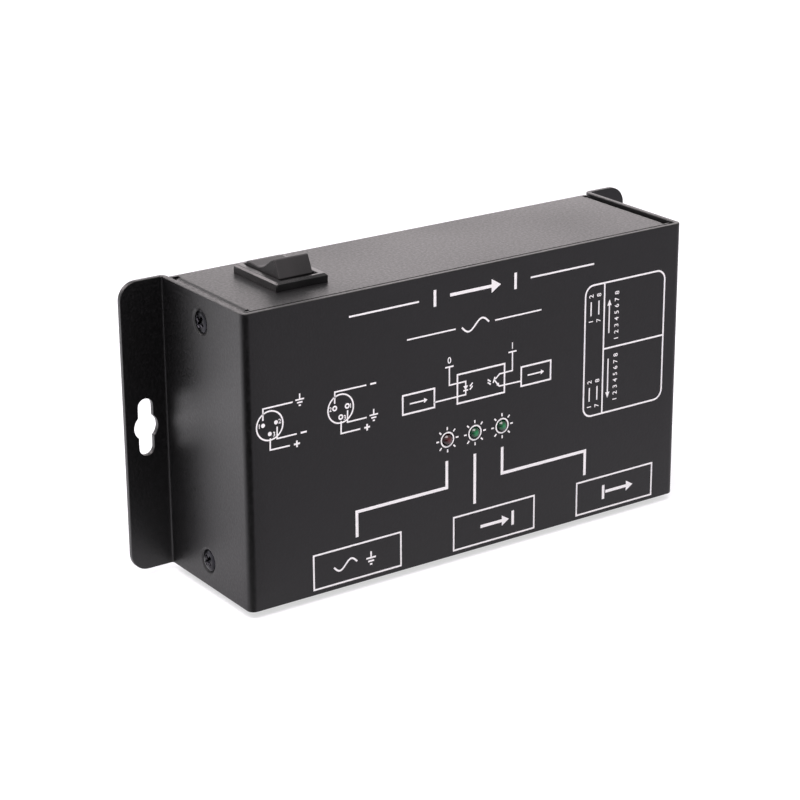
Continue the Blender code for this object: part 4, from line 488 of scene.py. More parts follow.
@dataclass(frozen=True)
class ScreenInk(Finish):
    """Two-part white screen ink, baked: opaque, half matt, a trace thinner where the threads were."""

    colour: str = "#ffffff"
    thin: str = "#f4f4f4"
    mesh: float = 0.3 * MM
    roughness: float = 0.5
    relief: float = 0.15
    depth: float = 0.02 * MM

    def shade(self, tree: bpy.types.NodeTree, where: bpy.types.NodeSocket) -> bpy.types.Node:
        """A fine noise makes the white a little thinner in places.

        Args:
            tree: the material's node tree.
            where: object coordinates in metres.

        Returns:
            The shader node.
        """
        threads = {"Vector": where, "Scale": LUMP / self.mesh, "Detail": 2, "Roughness": OCTAVE}
        fine = add_node(tree, Kind.NOISE, threads).outputs["Fac"]
        thin = add_node(tree, Kind.RANGE, {"Value": fine, "From Min": 0.55, "From Max": 0.75})
        blend = {"Factor": thin.outputs["Result"], "A": linear(self.colour), "B": linear(self.thin)}
        colour = add_node(tree, Kind.MIX, blend, data_type="RGBA").outputs["Result"]
        bump = add_node(tree, Kind.BUMP, {"Height": fine, "Strength": self.relief, "Distance": self.depth})
        inputs = {"Base Color": colour, "Roughness": self.roughness, "Normal": bump.outputs[0]}
        return add_node(tree, Kind.PRINCIPLED, inputs)


@dataclass(frozen=True)
class TintedResin(Finish):
    """Cast epoxy lens of an unlit lamp: deep colour at the rim, lighter over the cup and its die inside."""

    deep: str = "#2a0a0d"
    bright: str = "#7a2f36"
    centre: tuple[float, float, float] = (0.0, 0.0, 0.0)
    radius: float = 1.5 * MM
    speck: float = 0.5 * MM
    roughness: float = 0.18
    index: float = 1.54
    coat: float = 0.6
    coat_roughness: float = 0.05

    def shade(self, tree: bpy.types.NodeTree, where: bpy.types.NodeSocket) -> bpy.types.Node:
        """The distance from the lens's axis, broken up by noise, blends rim to cup colour; a coat adds gloss.

        Args:
            tree: the material's node tree.
            where: object coordinates in metres.

        Returns:
            The shader node.
        """
        centred = add_node(tree, Kind.VECTOR, {0: where, 1: self.centre}, operation="SUBTRACT")
        flat = add_node(tree, Kind.VECTOR, {0: centred.outputs[0], 1: (1.0, 0.0, 1.0)}, operation="MULTIPLY")
        reach = add_node(tree, Kind.VECTOR, {0: flat.outputs[0]}, operation="LENGTH").outputs["Value"]
        rim = {"From Min": 0.25 * self.radius, "From Max": 0.8 * self.radius, "To Min": 1.0, "To Max": 0.0}
        cup = add_node(tree, Kind.RANGE, {"Value": reach, **rim}).outputs["Result"]
        fine = {"Vector": where, "Scale": LUMP / self.speck, "Detail": 2, "Roughness": OCTAVE}
        noise = add_node(tree, Kind.NOISE, fine).outputs["Fac"]
        band = {"From Min": 0.35, "From Max": 0.62, "To Min": 0.25, "To Max": 1.0}
        specks = add_node(tree, Kind.RANGE, {"Value": noise, **band}).outputs["Result"]
        amount = add_node(tree, Kind.MATH, {0: cup, 1: specks}, operation="MULTIPLY").outputs[0]
        blend = {"Factor": amount, "A": linear(self.deep), "B": linear(self.bright)}
        colour = add_node(tree, Kind.MIX, blend, data_type="RGBA").outputs["Result"]
        inputs = {"Base Color": colour, "Roughness": self.roughness, "IOR": self.index}
        coat = {"Coat Weight": self.coat, "Coat Roughness": self.coat_roughness}
        return add_node(tree, Kind.PRINCIPLED, {**inputs, **coat})


@dataclass(frozen=True)
class Laminate(Finish):
    """Glass-epoxy board under green solder mask: the copper tracks beneath show as paler bands."""

    mask: str = "#0f4a2a"
    copper: str = "#1d6a3c"
    spacing: float = 12 * MM  # coarser than real tracks, so that they show in the render
    roughness: float = 0.32
    relief: float = 0.2
    depth: float = 0.04 * MM

    def shade(self, tree: bpy.types.NodeTree, where: bpy.types.NodeSocket) -> bpy.types.Node:
        """A brick pattern 3 mm high, turned to lie in the board's plane, stands for tracks under the mask.

        Args:
            tree: the material's node tree.
            where: object coordinates in metres.

        Returns:
            The shader node.
        """
        turned_in = add_node(tree, Kind.MAPPING, {"Vector": where, "Rotation": (math.pi / 2, 0.0, 0.0)})
        joints = {"Scale": 1 / self.spacing, "Mortar Size": 0.05, "Mortar Smooth": 0.1}
        tracks = add_node(tree, Kind.BRICK, {"Vector": turned_in.outputs[0], **joints}).outputs["Fac"]
        blend = {"Factor": tracks, "A": linear(self.mask), "B": linear(self.copper)}
        colour = add_node(tree, Kind.MIX, blend, data_type="RGBA").outputs["Result"]
        bump = add_node(tree, Kind.BUMP, {"Height": tracks, "Strength": self.relief, "Distance": self.depth})
        inputs = {"Base Color": colour, "Roughness": self.roughness, "Normal": bump.outputs[0]}
        return add_node(tree, Kind.PRINCIPLED, inputs)


@dataclass(frozen=True)
class StripedInsulation(Finish):
    """PVC insulation extruded with a stripe: the earth lead's green with yellow bands."""

    first: str = "#3f8a2a"
    second: str = "#d8c21e"
    band: float = 3 * MM
    texture: float = 0.4 * MM
    roughness: float = 0.4
    relief: float = 0.1
    depth: float = 0.03 * MM

    def shade(self, tree: bpy.types.NodeTree, where: bpy.types.NodeSocket) -> bpy.types.Node:
        """Slanting waves about a band's length apart switch between the two colours.

        Args:
            tree: the material's node tree.
            where: object coordinates in metres.

        Returns:
            The shader node.
        """
        waves = {"Vector": where, "Scale": CRESTS / self.band}
        bands = add_node(tree, Kind.WAVE, waves, bands_direction="DIAGONAL").outputs["Fac"]
        amount = add_node(tree, Kind.RANGE, {"Value": bands, "From Min": 0.45, "From Max": 0.55})
        blend = {"Factor": amount.outputs["Result"], "A": linear(self.first), "B": linear(self.second)}
        colour = add_node(tree, Kind.MIX, blend, data_type="RGBA").outputs["Result"]
        fine = {"Vector": where, "Scale": LUMP / self.texture, "Detail": 2, "Roughness": OCTAVE}
        skin = add_node(tree, Kind.NOISE, fine).outputs["Fac"]
        bump = add_node(tree, Kind.BUMP, {"Height": skin, "Strength": self.relief, "Distance": self.depth})
        inputs = {"Base Color": colour, "Roughness": self.roughness, "Normal": bump.outputs[0]}
        return add_node(tree, Kind.PRINCIPLED, inputs)


# Black powder coat on folded steel: near black in shade, grey with a fine sparkle where it faces the light.
POWDER_COAT = PowderCoat("powder_coated_steel", "black_powder_coat")
# Zinc plate blackened in a bath: almost black metal whose edges and recess walls catch small glints.
BLACK_ZINC = PlatedMetal("black_zinc_plated_steel", "blackened_steel", "#303034", "#212124", 0.2, 0.25 * MM)
# Die-cast zinc, blackened: duller and cloudier than the screws, with the skin of the mould.
CAST_ZINC = PlatedMetal("black_zinc_die_casting", "blackened_steel", "#2b2b2e", "#242427", 0.34, 0.3 * MM)
# Clear zinc plate on stamped steel: a cool, light grey metal with a slightly uneven gloss.
BRIGHT_ZINC = PlatedMetal("bright_zinc_plated_steel", "bright_steel", "#c4c5c6", "#a9acb0", 0.3)
# Nylon moulded against a spark-eroded steel: matt black, so the dished rocker reads by broad soft tones.
SWITCH_NYLON = MouldedPlastic("moulded_nylon", "switch_nylon", "#161516", 0.52, 0.14 * MM, 0.7)
# The same nylon from a finer mould: smoother and darker, so that the bezel's chamfers show thin highlights.
BEZEL_NYLON = MouldedPlastic("moulded_bezel_nylon", "switch_nylon", "#0a0a0b", 0.34, 0.14 * MM, 0.3)
# Glass-filled polyester of the sockets: black with a faint, grainy skin.
SOCKET_PBT = MouldedPlastic("moulded_polyester", "socket_moulding", "#1a1a1b", 0.4, 0.2 * MM, 0.25)
# The same plastic on inner parts: a little greyer and drier.
INNER_PBT = MouldedPlastic("moulded_inner_polyester", "inner_moulding", "#232325", 0.45, 0.2 * MM, 0.25)
# Silver over brass pins: bright, slightly warm and lightly marked.
SILVER_PLATE = PlatedMetal("silver_plated_brass", "plated_contact", "#dcdad4", "#bdb9ae", 0.2, 0.3 * MM)
# Gold flash on sprung bronze wires: deep yellow metal that glints from inside the dark sockets.
GOLD_PLATE = PlatedMetal("gold_plated_bronze", "", "#e6b95c", "#d3a148", 0.22, 0.2 * MM)
# Rolled brass sheet, bare: yellow metal with a soft gloss.
BARE_BRASS = PlatedMetal("rolled_brass", "brass_contact", "#d9b45a", "#b88f3e", 0.28, 0.4 * MM)
# Solder mask over glass and epoxy: even dark green with a low shine.
GREEN_LAMINATE = Laminate("glass_epoxy_laminate", "board_laminate")
# PVC sleeve shrunk on a capacitor: dark blue, shiny, with slow waves in its skin.
PVC_SLEEVE = MouldedPlastic("shrunk_pvc_sleeve", "capacitor_sleeve", "#1c2a4a", 0.3, 1.2 * MM, 0.2)
# Sintered ferrite: dark grey and dull, with a gritty skin.
FERRITE = MouldedPlastic("sintered_ferrite", "ferrite", "#3a3b3d", 0.6, 0.15 * MM, 0.5, 1.9)
# Polyester film tape wound round the coil: amber yellow and smooth, with the winding's waves under it.
POLYESTER_TAPE = MouldedPlastic("polyester_tape", "winding_tape", "#c9a62c", 0.28, 1.5 * MM, 0.3)
# Glass tube with pressed caps: pale grey and very smooth.
FUSE_GLASS = MouldedPlastic("fuse_glass_and_caps", "fuse_body", "#c9ccca", 0.12, 0.8 * MM, 0.05, 1.5)
# Extruded PVC insulation: even colour, half matt, with slight waves from the die.
BROWN_PVC = MouldedPlastic("brown_pvc_insulation", "brown_wire", "#5b3420", 0.4, 0.4 * MM, 0.15)
BLUE_PVC = MouldedPlastic("blue_pvc_insulation", "blue_wire", "#1e5aa8", 0.4, 0.4 * MM, 0.15)
GREY_PVC = MouldedPlastic("grey_pvc_insulation", "grey_wire", "#9b9c9f", 0.4, 0.4 * MM, 0.15)
# The earth lead's PVC: green and yellow bands.
EARTH_PVC = StripedInsulation("striped_pvc_insulation", "green_yellow_wire")
# Baked white ink: the crisp, half matt lines of the print.
WHITE_INK = ScreenInk("baked_screen_ink", "")
# Cast epoxy, tinted and unlit: a dark glossy dome, lighter over the cup inside. Each has its lamp's centre.
LAMP_SPOTS = [(x, 0.0, -6.1 * MM) for x in (-9 * MM, 0.0, 9 * MM)]
RED_RESIN = TintedResin("red_epoxy_lens", "led_red_lens", "#1e0305", "#5c1218", LAMP_SPOTS[0])
GREEN_RESIN = TintedResin("green_epoxy_lens", "led_green_lens", "#03301a", "#0f7d48", LAMP_SPOTS[1])
RIGHT_RESIN = TintedResin("green_epoxy_lens_right", "led_green_lens", "#03301a", "#0f7d48", LAMP_SPOTS[2])


# ------------ folded sheet


@dataclass(frozen=True)
class Opening:
    """One hole in a sheet's flat pattern, inside a rectangular block of the pattern's grid.

    Attributes:
        block: the block's left, right, lower and upper edges in the pattern.
        outline: the hole's edge in the direction of an angle, as offsets from the centre.
        centre: the hole's centre in the pattern.
        rings: how many steps there are between the block's edge and the hole's.
        dip: how far the sheet is pressed inward as a function of distance from the hole's centre.
        step: spacing of the extra grid lines that cross the block.
    """

    block: tuple[float, float, float, float]
    outline: Outline
    centre: Point2
    rings: int = 4
    dip: Outline | None = None
    step: float = 1.15 * MM


def round_outline(radius: float) -> Outline:
    """Edge of a round hole: (r cos a, r sin a)."""
    return lambda angle: radius * np.stack([np.cos(angle), np.sin(angle)], axis=-1)


def boxed_outline(half_width: float, half_height: float, power: float = 40.0) -> Outline:
    """Edge of a rectangular hole with tight corners: a ray at each angle scaled until |x/w|^p + |y/h|^p = 1.

    Args:
        half_width: half the hole's width.
        half_height: half its height.
        power: how square the corners are.

    Returns:
        A function from angles to offsets.
    """

    def edge(angle: np.ndarray) -> np.ndarray:
        """Work out the edge.

        Args:
            angle: directions from the centre, in radians.

        Returns:
            An offset from the centre for each.
        """
        way = np.stack([np.cos(angle), np.sin(angle)], axis=-1)
        x, y = np.abs(way[..., 0] / half_width), np.abs(way[..., 1] / half_height)
        return way * ((x**power + y**power) ** (-1 / power))[..., None]

    return edge


def keyhole_outline(slot_radius: float, half_length: float, eye_radius: float) -> Outline:
    """Edge of a keyhole, an eye in the middle of an upright slot: the farther of circle and slot on each ray.

    Args:
        slot_radius: half the slot's width.
        half_length: half the slot's length.
        eye_radius: the eye's radius.

    Returns:
        A function from angles to offsets.
    """

    def edge(angle: np.ndarray) -> np.ndarray:
        """Work out the edge.

        Args:
            angle: directions from the centre, in radians.

        Returns:
            An offset from the centre for each.
        """
        across, along = np.abs(np.cos(angle)), np.abs(np.sin(angle))
        straight = slot_radius / np.maximum(across, 1e-9)
        lift = half_length - slot_radius
        under_root = np.maximum(slot_radius**2 - (lift * across) ** 2, 0.0)
        end = lift * along + np.sqrt(under_root)
        slot = np.where(straight * along <= lift, straight, end)
        reach = np.maximum(slot, eye_radius)
        return np.stack([np.cos(angle), np.sin(angle)], axis=-1) * reach[..., None]

    return edge


def dimple(rim: float, depth: float, run: float) -> Outline:
    """Pressed rim round a countersunk screw: depth times a smooth step from one to zero over the run.

    Args:
        rim: radius where the full depth ends.
        depth: how deep the rim is pressed.
        run: over what distance the sheet comes back to its face.

    Returns:
        A function from radius to depth.
    """

    def press(radius: np.ndarray) -> np.ndarray:
        """Depth at each radius."""
        t = np.clip((rim + run - radius) / run, 0.0, 1.0)
        return depth * t * t * (3 - 2 * t)

    return press


@dataclass(frozen=True)
class Fold:
    """One bend of a sheet: its start in the pattern, how far it turns and its radius at the outer face."""

    start: float
    turn: float
    radius: float

    @property
    def length(self) -> float:
        """The bend's length on the pattern."""
        return abs(self.turn) * self.radius


@dataclass
class FoldedSheet:
    """A sheet cut flat and folded along straight lines.

    The pattern has s along the sheet's section and t along the folds. A point (s, t) goes to
    start + the sum of straight runs and arcs up to s, with t on the third axis.

    Attributes:
        name: the piece's name.
        start: where the section starts.
        heading: the way it starts in, in radians.
        folds: the bends in order.
        length: the pattern's length.
        thickness: the sheet's.
        inward: 1 where the sheet's inner side is to the left of the section, -1 where it is to the right.
        lift: carries section points and t to points in space.
    """

    name: str
    start: Point2
    heading: float
    folds: list[Fold]
    length: float
    thickness: float
    inward: float
    lift: Callable[[np.ndarray, np.ndarray], np.ndarray]

    def section(self, s: np.ndarray) -> tuple[np.ndarray, np.ndarray]:
        """Places and headings along the folded section.

        Args:
            s: distances along the pattern.

        Returns:
            An (n, 2) array of places and an (n,) array of headings in radians.
        """
        place = np.tile(np.array(self.start, float), (len(s), 1))
        heading = np.full(len(s), self.heading)
        at, angle, done = np.array(self.start, float), self.heading, 0.0
        stops = [*self.folds, Fold(self.length, 0.0, 1.0)]
        for fold in stops:
            run = np.clip(s - done, 0, fold.start - done)[:, None]
            inside = (s >= done)[:, None]
            way = np.array([math.cos(angle), math.sin(angle)])
            place = np.where(inside, at + run * way, place)
            heading = np.where(inside[:, 0], angle, heading)
            at = at + (fold.start - done) * way
            done = fold.start
            if not fold.turn:
                continue
            turn = np.clip((s - done) / fold.length, 0, 1) * fold.turn
            side = math.copysign(1.0, fold.turn)
            centre = at + side * fold.radius * np.array([-math.sin(angle), math.cos(angle)])
            out = side * np.stack([np.sin(angle + turn), -np.cos(angle + turn)], axis=-1) * fold.radius
            inside = (s >= done)[:, None]
            place = np.where(inside, centre + out, place)
            heading = np.where(inside[:, 0], angle + turn, heading)
            angle += fold.turn
            at = centre + side * np.array([math.sin(angle), -math.cos(angle)]) * fold.radius
            done += fold.length
        return place, heading

    def folded(self, flat: np.ndarray, depth: np.ndarray) -> np.ndarray:
        """Carry pattern points to their folded places, pressed inward along the sheet's normal by a depth.

        Args:
            flat: an (n, 2) array of (s, t).
            depth: an (n,) array of inward distances.

        Returns:
            An (n, 3) array of points.
        """
        place, heading = self.section(flat[:, 0])
        normal = self.inward * np.stack([-np.sin(heading), np.cos(heading)], axis=-1)
        return self.lift(place + normal * depth[:, None], flat[:, 1])

    def build(
        self, s_lines: np.ndarray, t_lines: np.ndarray, openings: list[Opening], corner: float, edge: float
    ) -> bpy.types.Object:
        """Mesh the pattern as a grid with blocks left out round the openings, fold it and thicken it.

        Args:
            s_lines: the grid's lines along the section.
            t_lines: the grid's lines along the folds.
            openings: the holes; each block's edges lie on grid lines.
            corner: radius of the pattern's four outer corners.
            edge: how far cut edges are rounded.

        Returns:
            The finished object.
        """
        for hole in openings:
            s_lines = np.concatenate([s_lines, spaced(*hole.block[:2], hole.step)])
            t_lines = np.concatenate([t_lines, spaced(*hole.block[2:], hole.step)])
        s_lines, t_lines = self.thinned(s_lines), self.thinned(t_lines)
        s, t = np.meshgrid(s_lines, t_lines, indexing="ij")
        flat = np.stack([s.ravel(), t.ravel()], axis=-1)
        faces = grid_faces(len(s_lines), len(t_lines))
        middle = flat[faces].mean(axis=1)
        keep = np.ones(len(faces), bool)
        for hole in openings:
            left, right, low, high = hole.block
            across = (middle[:, 0] > left) & (middle[:, 0] < right)
            keep &= ~(across & (middle[:, 1] > low) & (middle[:, 1] < high))
        flats, depths, quads = [flat], [np.zeros(len(flat))], [faces[keep]]
        count = len(flat)
        for hole in openings:
            ring, depth, ring_faces = self.ring_patch(hole, s_lines, t_lines)
            flats.append(ring)
            depths.append(depth)
            quads.append(ring_faces + count)
            count += len(ring)
        flat = self.rounded_corners(np.concatenate(flats), t_lines[0], t_lines[-1], corner)
        depth = np.concatenate(depths)
        stacked = np.column_stack([flat, depth])
        stacked, faces = merged(stacked, np.concatenate(quads))
        faces = [f[::-1] if self.inward > 0 else f for f in faces]
        piece = mesh_object(self.name, self.folded(stacked[:, :2], stacked[:, 2]), faces)
        solid = piece.modifiers.new("thickness", "SOLIDIFY")
        solid.thickness = self.thickness
        solid.offset = -1
        solid.use_even_offset = True
        return softened_sheet(fixed_modifiers(piece), edge)

    @staticmethod
    def thinned(lines: np.ndarray) -> np.ndarray:
        """Sorted grid lines with doubles closer than 1 micrometre made one."""
        ordered = np.sort(lines)
        return ordered[np.concatenate([[True], np.diff(ordered) > 0.001 * MM])]

    @staticmethod
    def ring_patch(
        hole: Opening, s_lines: np.ndarray, t_lines: np.ndarray
    ) -> tuple[np.ndarray, np.ndarray, np.ndarray]:
        """Quads between a block's edge and its hole: rays at the edge points' angles, in narrowing steps.

        Args:
            hole: the opening.
            s_lines: the grid's lines along the section.
            t_lines: the grid's lines along the folds.

        Returns:
            Pattern points, their inward depths and the faces.
        """
        left, right, low, high = hole.block
        across = s_lines[(s_lines > left - TOUCH) & (s_lines < right + TOUCH)]
        up = t_lines[(t_lines > low - TOUCH) & (t_lines < high + TOUCH)]
        rim = np.concatenate(
            [
                np.stack([across[:-1], np.full(len(across) - 1, low)], axis=-1),
                np.stack([np.full(len(up) - 1, right), up[:-1]], axis=-1),
                np.stack([across[:0:-1], np.full(len(across) - 1, high)], axis=-1),
                np.stack([np.full(len(up) - 1, left), up[:0:-1]], axis=-1),
            ]
        )
        offset = rim - hole.centre
        inner = hole.outline(np.arctan2(offset[:, 1], offset[:, 0])) + hole.centre
        share = (1 - np.linspace(1, 0, hole.rings + 1) ** 1.6)[:, None, None]
        points = rim[None] * (1 - share) + inner[None] * share
        flat = points.reshape(-1, 2)
        radius = np.linalg.norm(flat - hole.centre, axis=1)
        depth = hole.dip(radius) if hole.dip else np.zeros(len(flat))
        return flat, depth, grid_faces(hole.rings + 1, len(rim), wrap=True)[:, ::-1]

    def rounded_corners(self, flat: np.ndarray, low: float, high: float, radius: float) -> np.ndarray:
        """Round the pattern's four outer corners.

        In each corner's square (u, v) becomes (u sqrt(1 - v^2/2), v sqrt(1 - u^2/2)).

        Args:
            flat: an (n, 2) array of pattern points.
            low: the lowest t.
            high: the highest t.
            radius: the corners' radius.

        Returns:
            The moved points.
        """
        middle = np.array([self.length / 2, (low + high) / 2])
        half = np.array([self.length / 2, (high - low) / 2])
        offset = flat - middle
        square = (np.abs(offset) - (half - radius)) / radius
        inside = (square > 0).all(axis=1)
        bowed = square * np.sqrt(np.maximum(1 - square[:, ::-1] ** 2 / 2, 0))
        moved = middle + np.sign(offset) * (half - radius + radius * bowed)
        return np.where(inside[:, None], moved, flat)


# ------------ the case


def upright(place: np.ndarray, t: np.ndarray) -> np.ndarray:
    """Section points (x, y) with t as z."""
    return np.column_stack([place, t])


def around(centre: Point2, half_s: float, half_t: float) -> tuple[float, float, float, float]:
    """Left, right, lower and upper edges of a block round a place on the pattern."""
    return (centre[0] - half_s, centre[0] + half_s, centre[1] - half_t, centre[1] + half_t)


def spaced(low: float, high: float, step: float) -> np.ndarray:
    """Even lines from low to high, about a step apart, both ends among them."""
    return np.linspace(low, high, max(2, round((high - low) / step) + 1))


@dataclass
class FrontCover:
    """The cover: one sheet folded like a hat, with keyholes in its flanges and pressed rims round its screws.

    The fields named grid give the half sizes of the square blocks that are meshed round each hole.
    """

    half_width: float = 70.5 * MM
    half_span: float = 82.8 * MM
    half_height: float = 40.0 * MM
    depth: float = 41.5 * MM
    sheet: float = 1.5 * MM
    outer_bend: float = 2.0 * MM
    inner_bend: float = 0.5 * MM
    flange_corner: float = 5.0 * MM
    screw_height: float = 32.7 * MM
    screw_depth: float = 20.5 * MM
    screw_hole: float = 3.05 * MM
    screw_grid: float = 4.6 * MM
    press_depth: float = 0.28 * MM
    press_run: float = 0.55 * MM
    lamp_hole: float = 1.8 * MM
    lamp_grid: float = 3.4 * MM
    lamp_pitch: float = 9.0 * MM
    lamp_height: float = -6.1 * MM
    window_depth: tuple[float, float] = (9.2 * MM, 21.6 * MM)
    window_heights: tuple[float, float] = (17.5 * MM, -0.3 * MM)
    window_half: float = 7.45 * MM
    window_margin: float = 1.2 * MM
    keyhole_inset: float = 6.0 * MM
    keyhole: tuple[float, float, float] = (2.2 * MM, 7.85 * MM, 3.5 * MM)
    keyhole_grid: tuple[float, float] = (5.0 * MM, 10.0 * MM)
    run_steps: tuple[float, ...] = (2.0 * MM, 2.5 * MM, 4.0 * MM, 2.5 * MM, 2.0 * MM)
    bend_lines: tuple[int, ...] = (7, 11, 11, 7)
    edge: float = 0.26 * MM

    def sheet_plan(self) -> tuple[FoldedSheet, list[Fold]]:
        """The folded sheet and its four bends, which turn at the flange, the front, the front and the flange.

        Returns:
            The sheet and its bends.
        """
        quarter = math.pi / 2
        inner, outer = self.inner_bend * quarter, self.outer_bend * quarter
        flange = self.half_span - self.half_width - self.inner_bend
        wall = self.depth - self.sheet - self.inner_bend - self.outer_bend
        front = 2 * (self.half_width - self.outer_bend)
        marks = [flange, flange + inner + wall]
        marks += [marks[1] + outer + front]
        marks += [marks[2] + outer + wall]
        turns = (-quarter, quarter, quarter, -quarter)
        radii = (self.inner_bend, self.outer_bend, self.outer_bend, self.inner_bend)
        folds = [Fold(*fold) for fold in zip(marks, turns, radii)]
        start = (-self.half_span, -self.sheet)
        length = marks[3] + inner + flange
        return FoldedSheet("cover", start, 0.0, folds, length, self.sheet, 1.0, upright), folds

    def openings(self, first_bend: Fold, length: float) -> list[Opening]:
        """Every hole of the cover on its pattern.

        Args:
            first_bend: the bend between the first flange and its wall.
            length: the pattern's length.

        Returns:
            The openings.
        """
        made = []
        for s in (self.keyhole_inset, length - self.keyhole_inset):
            block = around((s, 0.0), *self.keyhole_grid)
            made.append(Opening(block, keyhole_outline(*self.keyhole), (s, 0.0), 3, step=0.8 * MM))
        wall_start = first_bend.start + first_bend.length
        run = self.screw_depth - self.sheet - self.inner_bend
        press = dimple(self.screw_hole, self.press_depth, self.press_run)
        for s in (wall_start + run, length - wall_start - run):
            for t in (-self.screw_height, self.screw_height):
                block = around((s, t), self.screw_grid, self.screw_grid)
                made.append(Opening(block, round_outline(self.screw_hole), (s, t), 9, press))
        for k in (-1, 0, 1):
            spot = (length / 2 + k * self.lamp_pitch, self.lamp_height)
            block = around(spot, self.lamp_grid, self.lamp_grid)
            made.append(Opening(block, round_outline(self.lamp_hole), spot, 4))
        near, far = (d - self.sheet - self.inner_bend for d in self.window_depth)
        s, half = length - wall_start - (near + far) / 2, (far - near) / 2
        for t in self.window_heights:
            block = around((s, t), half + self.window_margin, self.window_half + self.window_margin)
            made.append(Opening(block, boxed_outline(half, self.window_half), (s, t), 3, step=1.7 * MM))
        return made

    def build(self) -> bpy.types.Object:
        """Fold the sheet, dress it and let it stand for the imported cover.

        Returns:
            The cover.
        """
        plan, folds = self.sheet_plan()
        bends = [(fold.start, fold.start + fold.length) for fold in folds]
        ends = [end for bend in bends for end in bend]
        stops = [self.flange_corner, *ends, plan.length - self.flange_corner]
        s_lines = [spaced(*run) for run in zip(stops[::2], stops[1::2], self.run_steps)]
        s_lines += [np.linspace(*bend, count) for bend, count in zip(bends, self.bend_lines)]
        corner = spaced(0, self.flange_corner, 1 * MM)
        s_lines += [corner, plan.length - corner]
        inner = self.half_height - self.flange_corner
        t_lines = np.concatenate([spaced(-inner, inner, 2.5 * MM), inner + corner, -inner - corner])
        holes = self.openings(folds[0], plan.length)
        piece = plan.build(np.concatenate(s_lines), t_lines, holes, self.flange_corner, self.edge)
        POWDER_COAT.dress(piece)
        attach(piece, Body.CASE.value)
        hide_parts("front_cover")
        return piece


@dataclass
class CrossScrew:
    """One countersunk screw with a cross recess: a height field over its head's disc, and its outline below.

    Height(r, a) = dome (1 - (r / R)^5), flat in the middle and falling at the rim, less the recess. The
    recess is deepest in the middle, and its walls slope where the cross's edge is nearer than wall.
    """

    radius: float = 2.95 * MM
    rim: float = 0.12 * MM
    arm: float = 1.8 * MM
    half_arm_width: float = 0.58 * MM
    recess: float = 1.45 * MM
    arm_rise: float = 0.55
    wall: float = 0.2 * MM
    land: float = 0.3 * MM
    cone: float = 1.2 * MM
    shank: tuple[float, float] = (1.5 * MM, -7.6 * MM)
    point: tuple[float, float] = (1.1 * MM, -8.0 * MM)
    rings: int = 30
    sides: int = 96

    def build(
        self, node: str, tip: Sequence[float], axis: str, turn: float, dome: float, finish: Finish
    ) -> bpy.types.Object:
        """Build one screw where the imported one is.

        Args:
            node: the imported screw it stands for.
            tip: the head's outer middle.
            axis: the way that the head faces.
            turn: how far the cross is turned, in radians.
            dome: how much the middle stands above the rim.
            finish: what it is dressed in.

        Returns:
            The screw.
        """
        share = np.linspace(0, 1, self.rings + 1)[:, None]
        angle = np.linspace(0, 2 * math.pi, self.sides, endpoint=False)[None]
        radius = share * (self.radius - self.rim)
        x, y = radius * np.cos(angle), radius * np.sin(angle)
        in_x = np.minimum(self.arm - np.abs(x), self.half_arm_width - np.abs(y))
        in_y = np.minimum(self.arm - np.abs(y), self.half_arm_width - np.abs(x))
        inside = np.clip(np.maximum(in_x, in_y) / self.wall, 0, 1)
        fall = self.recess * (1 - self.arm_rise * np.clip(radius / self.arm, 0, 1))
        top = np.stack([x, y, dome * (1 - share**5) - inside * fall], axis=-1)
        edge = [(self.radius - 0.04 * MM, -0.04 * MM), (self.radius, -0.14 * MM), (self.radius, -self.land)]
        cone = (self.radius - self.cone, -self.land - self.cone)
        low = np.array([*edge, cone, self.shank, self.point, (0.0, self.point[1])])
        down = np.repeat(low[:, 1:], self.sides, axis=1)
        skirt = np.stack([low[:, :1] * np.cos(angle), low[:, :1] * np.sin(angle), down], axis=-1)
        points = np.concatenate([top, skirt]).reshape(-1, 3)
        spin = np.array(Matrix.Rotation(turn, 3, "Z"))
        points, faces = merged(points, grid_faces(len(top) + len(skirt), self.sides, wrap=True)[:, ::-1])
        piece = mesh_object(f"{node}_head", points @ spin.T @ axis_turn(axis).T + np.array(tip), faces)
        shaded_smooth(piece)
        finish.dress(piece)
        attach(piece, Body.CASE.value)
        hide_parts(node)
        return piece


# ------------ the printed front


class Stroke(float, Enum):
    """Line widths of the print."""

    FINE = 0.42 * MM
    FRAME = 0.5 * MM
    BOLD = 0.88 * MM


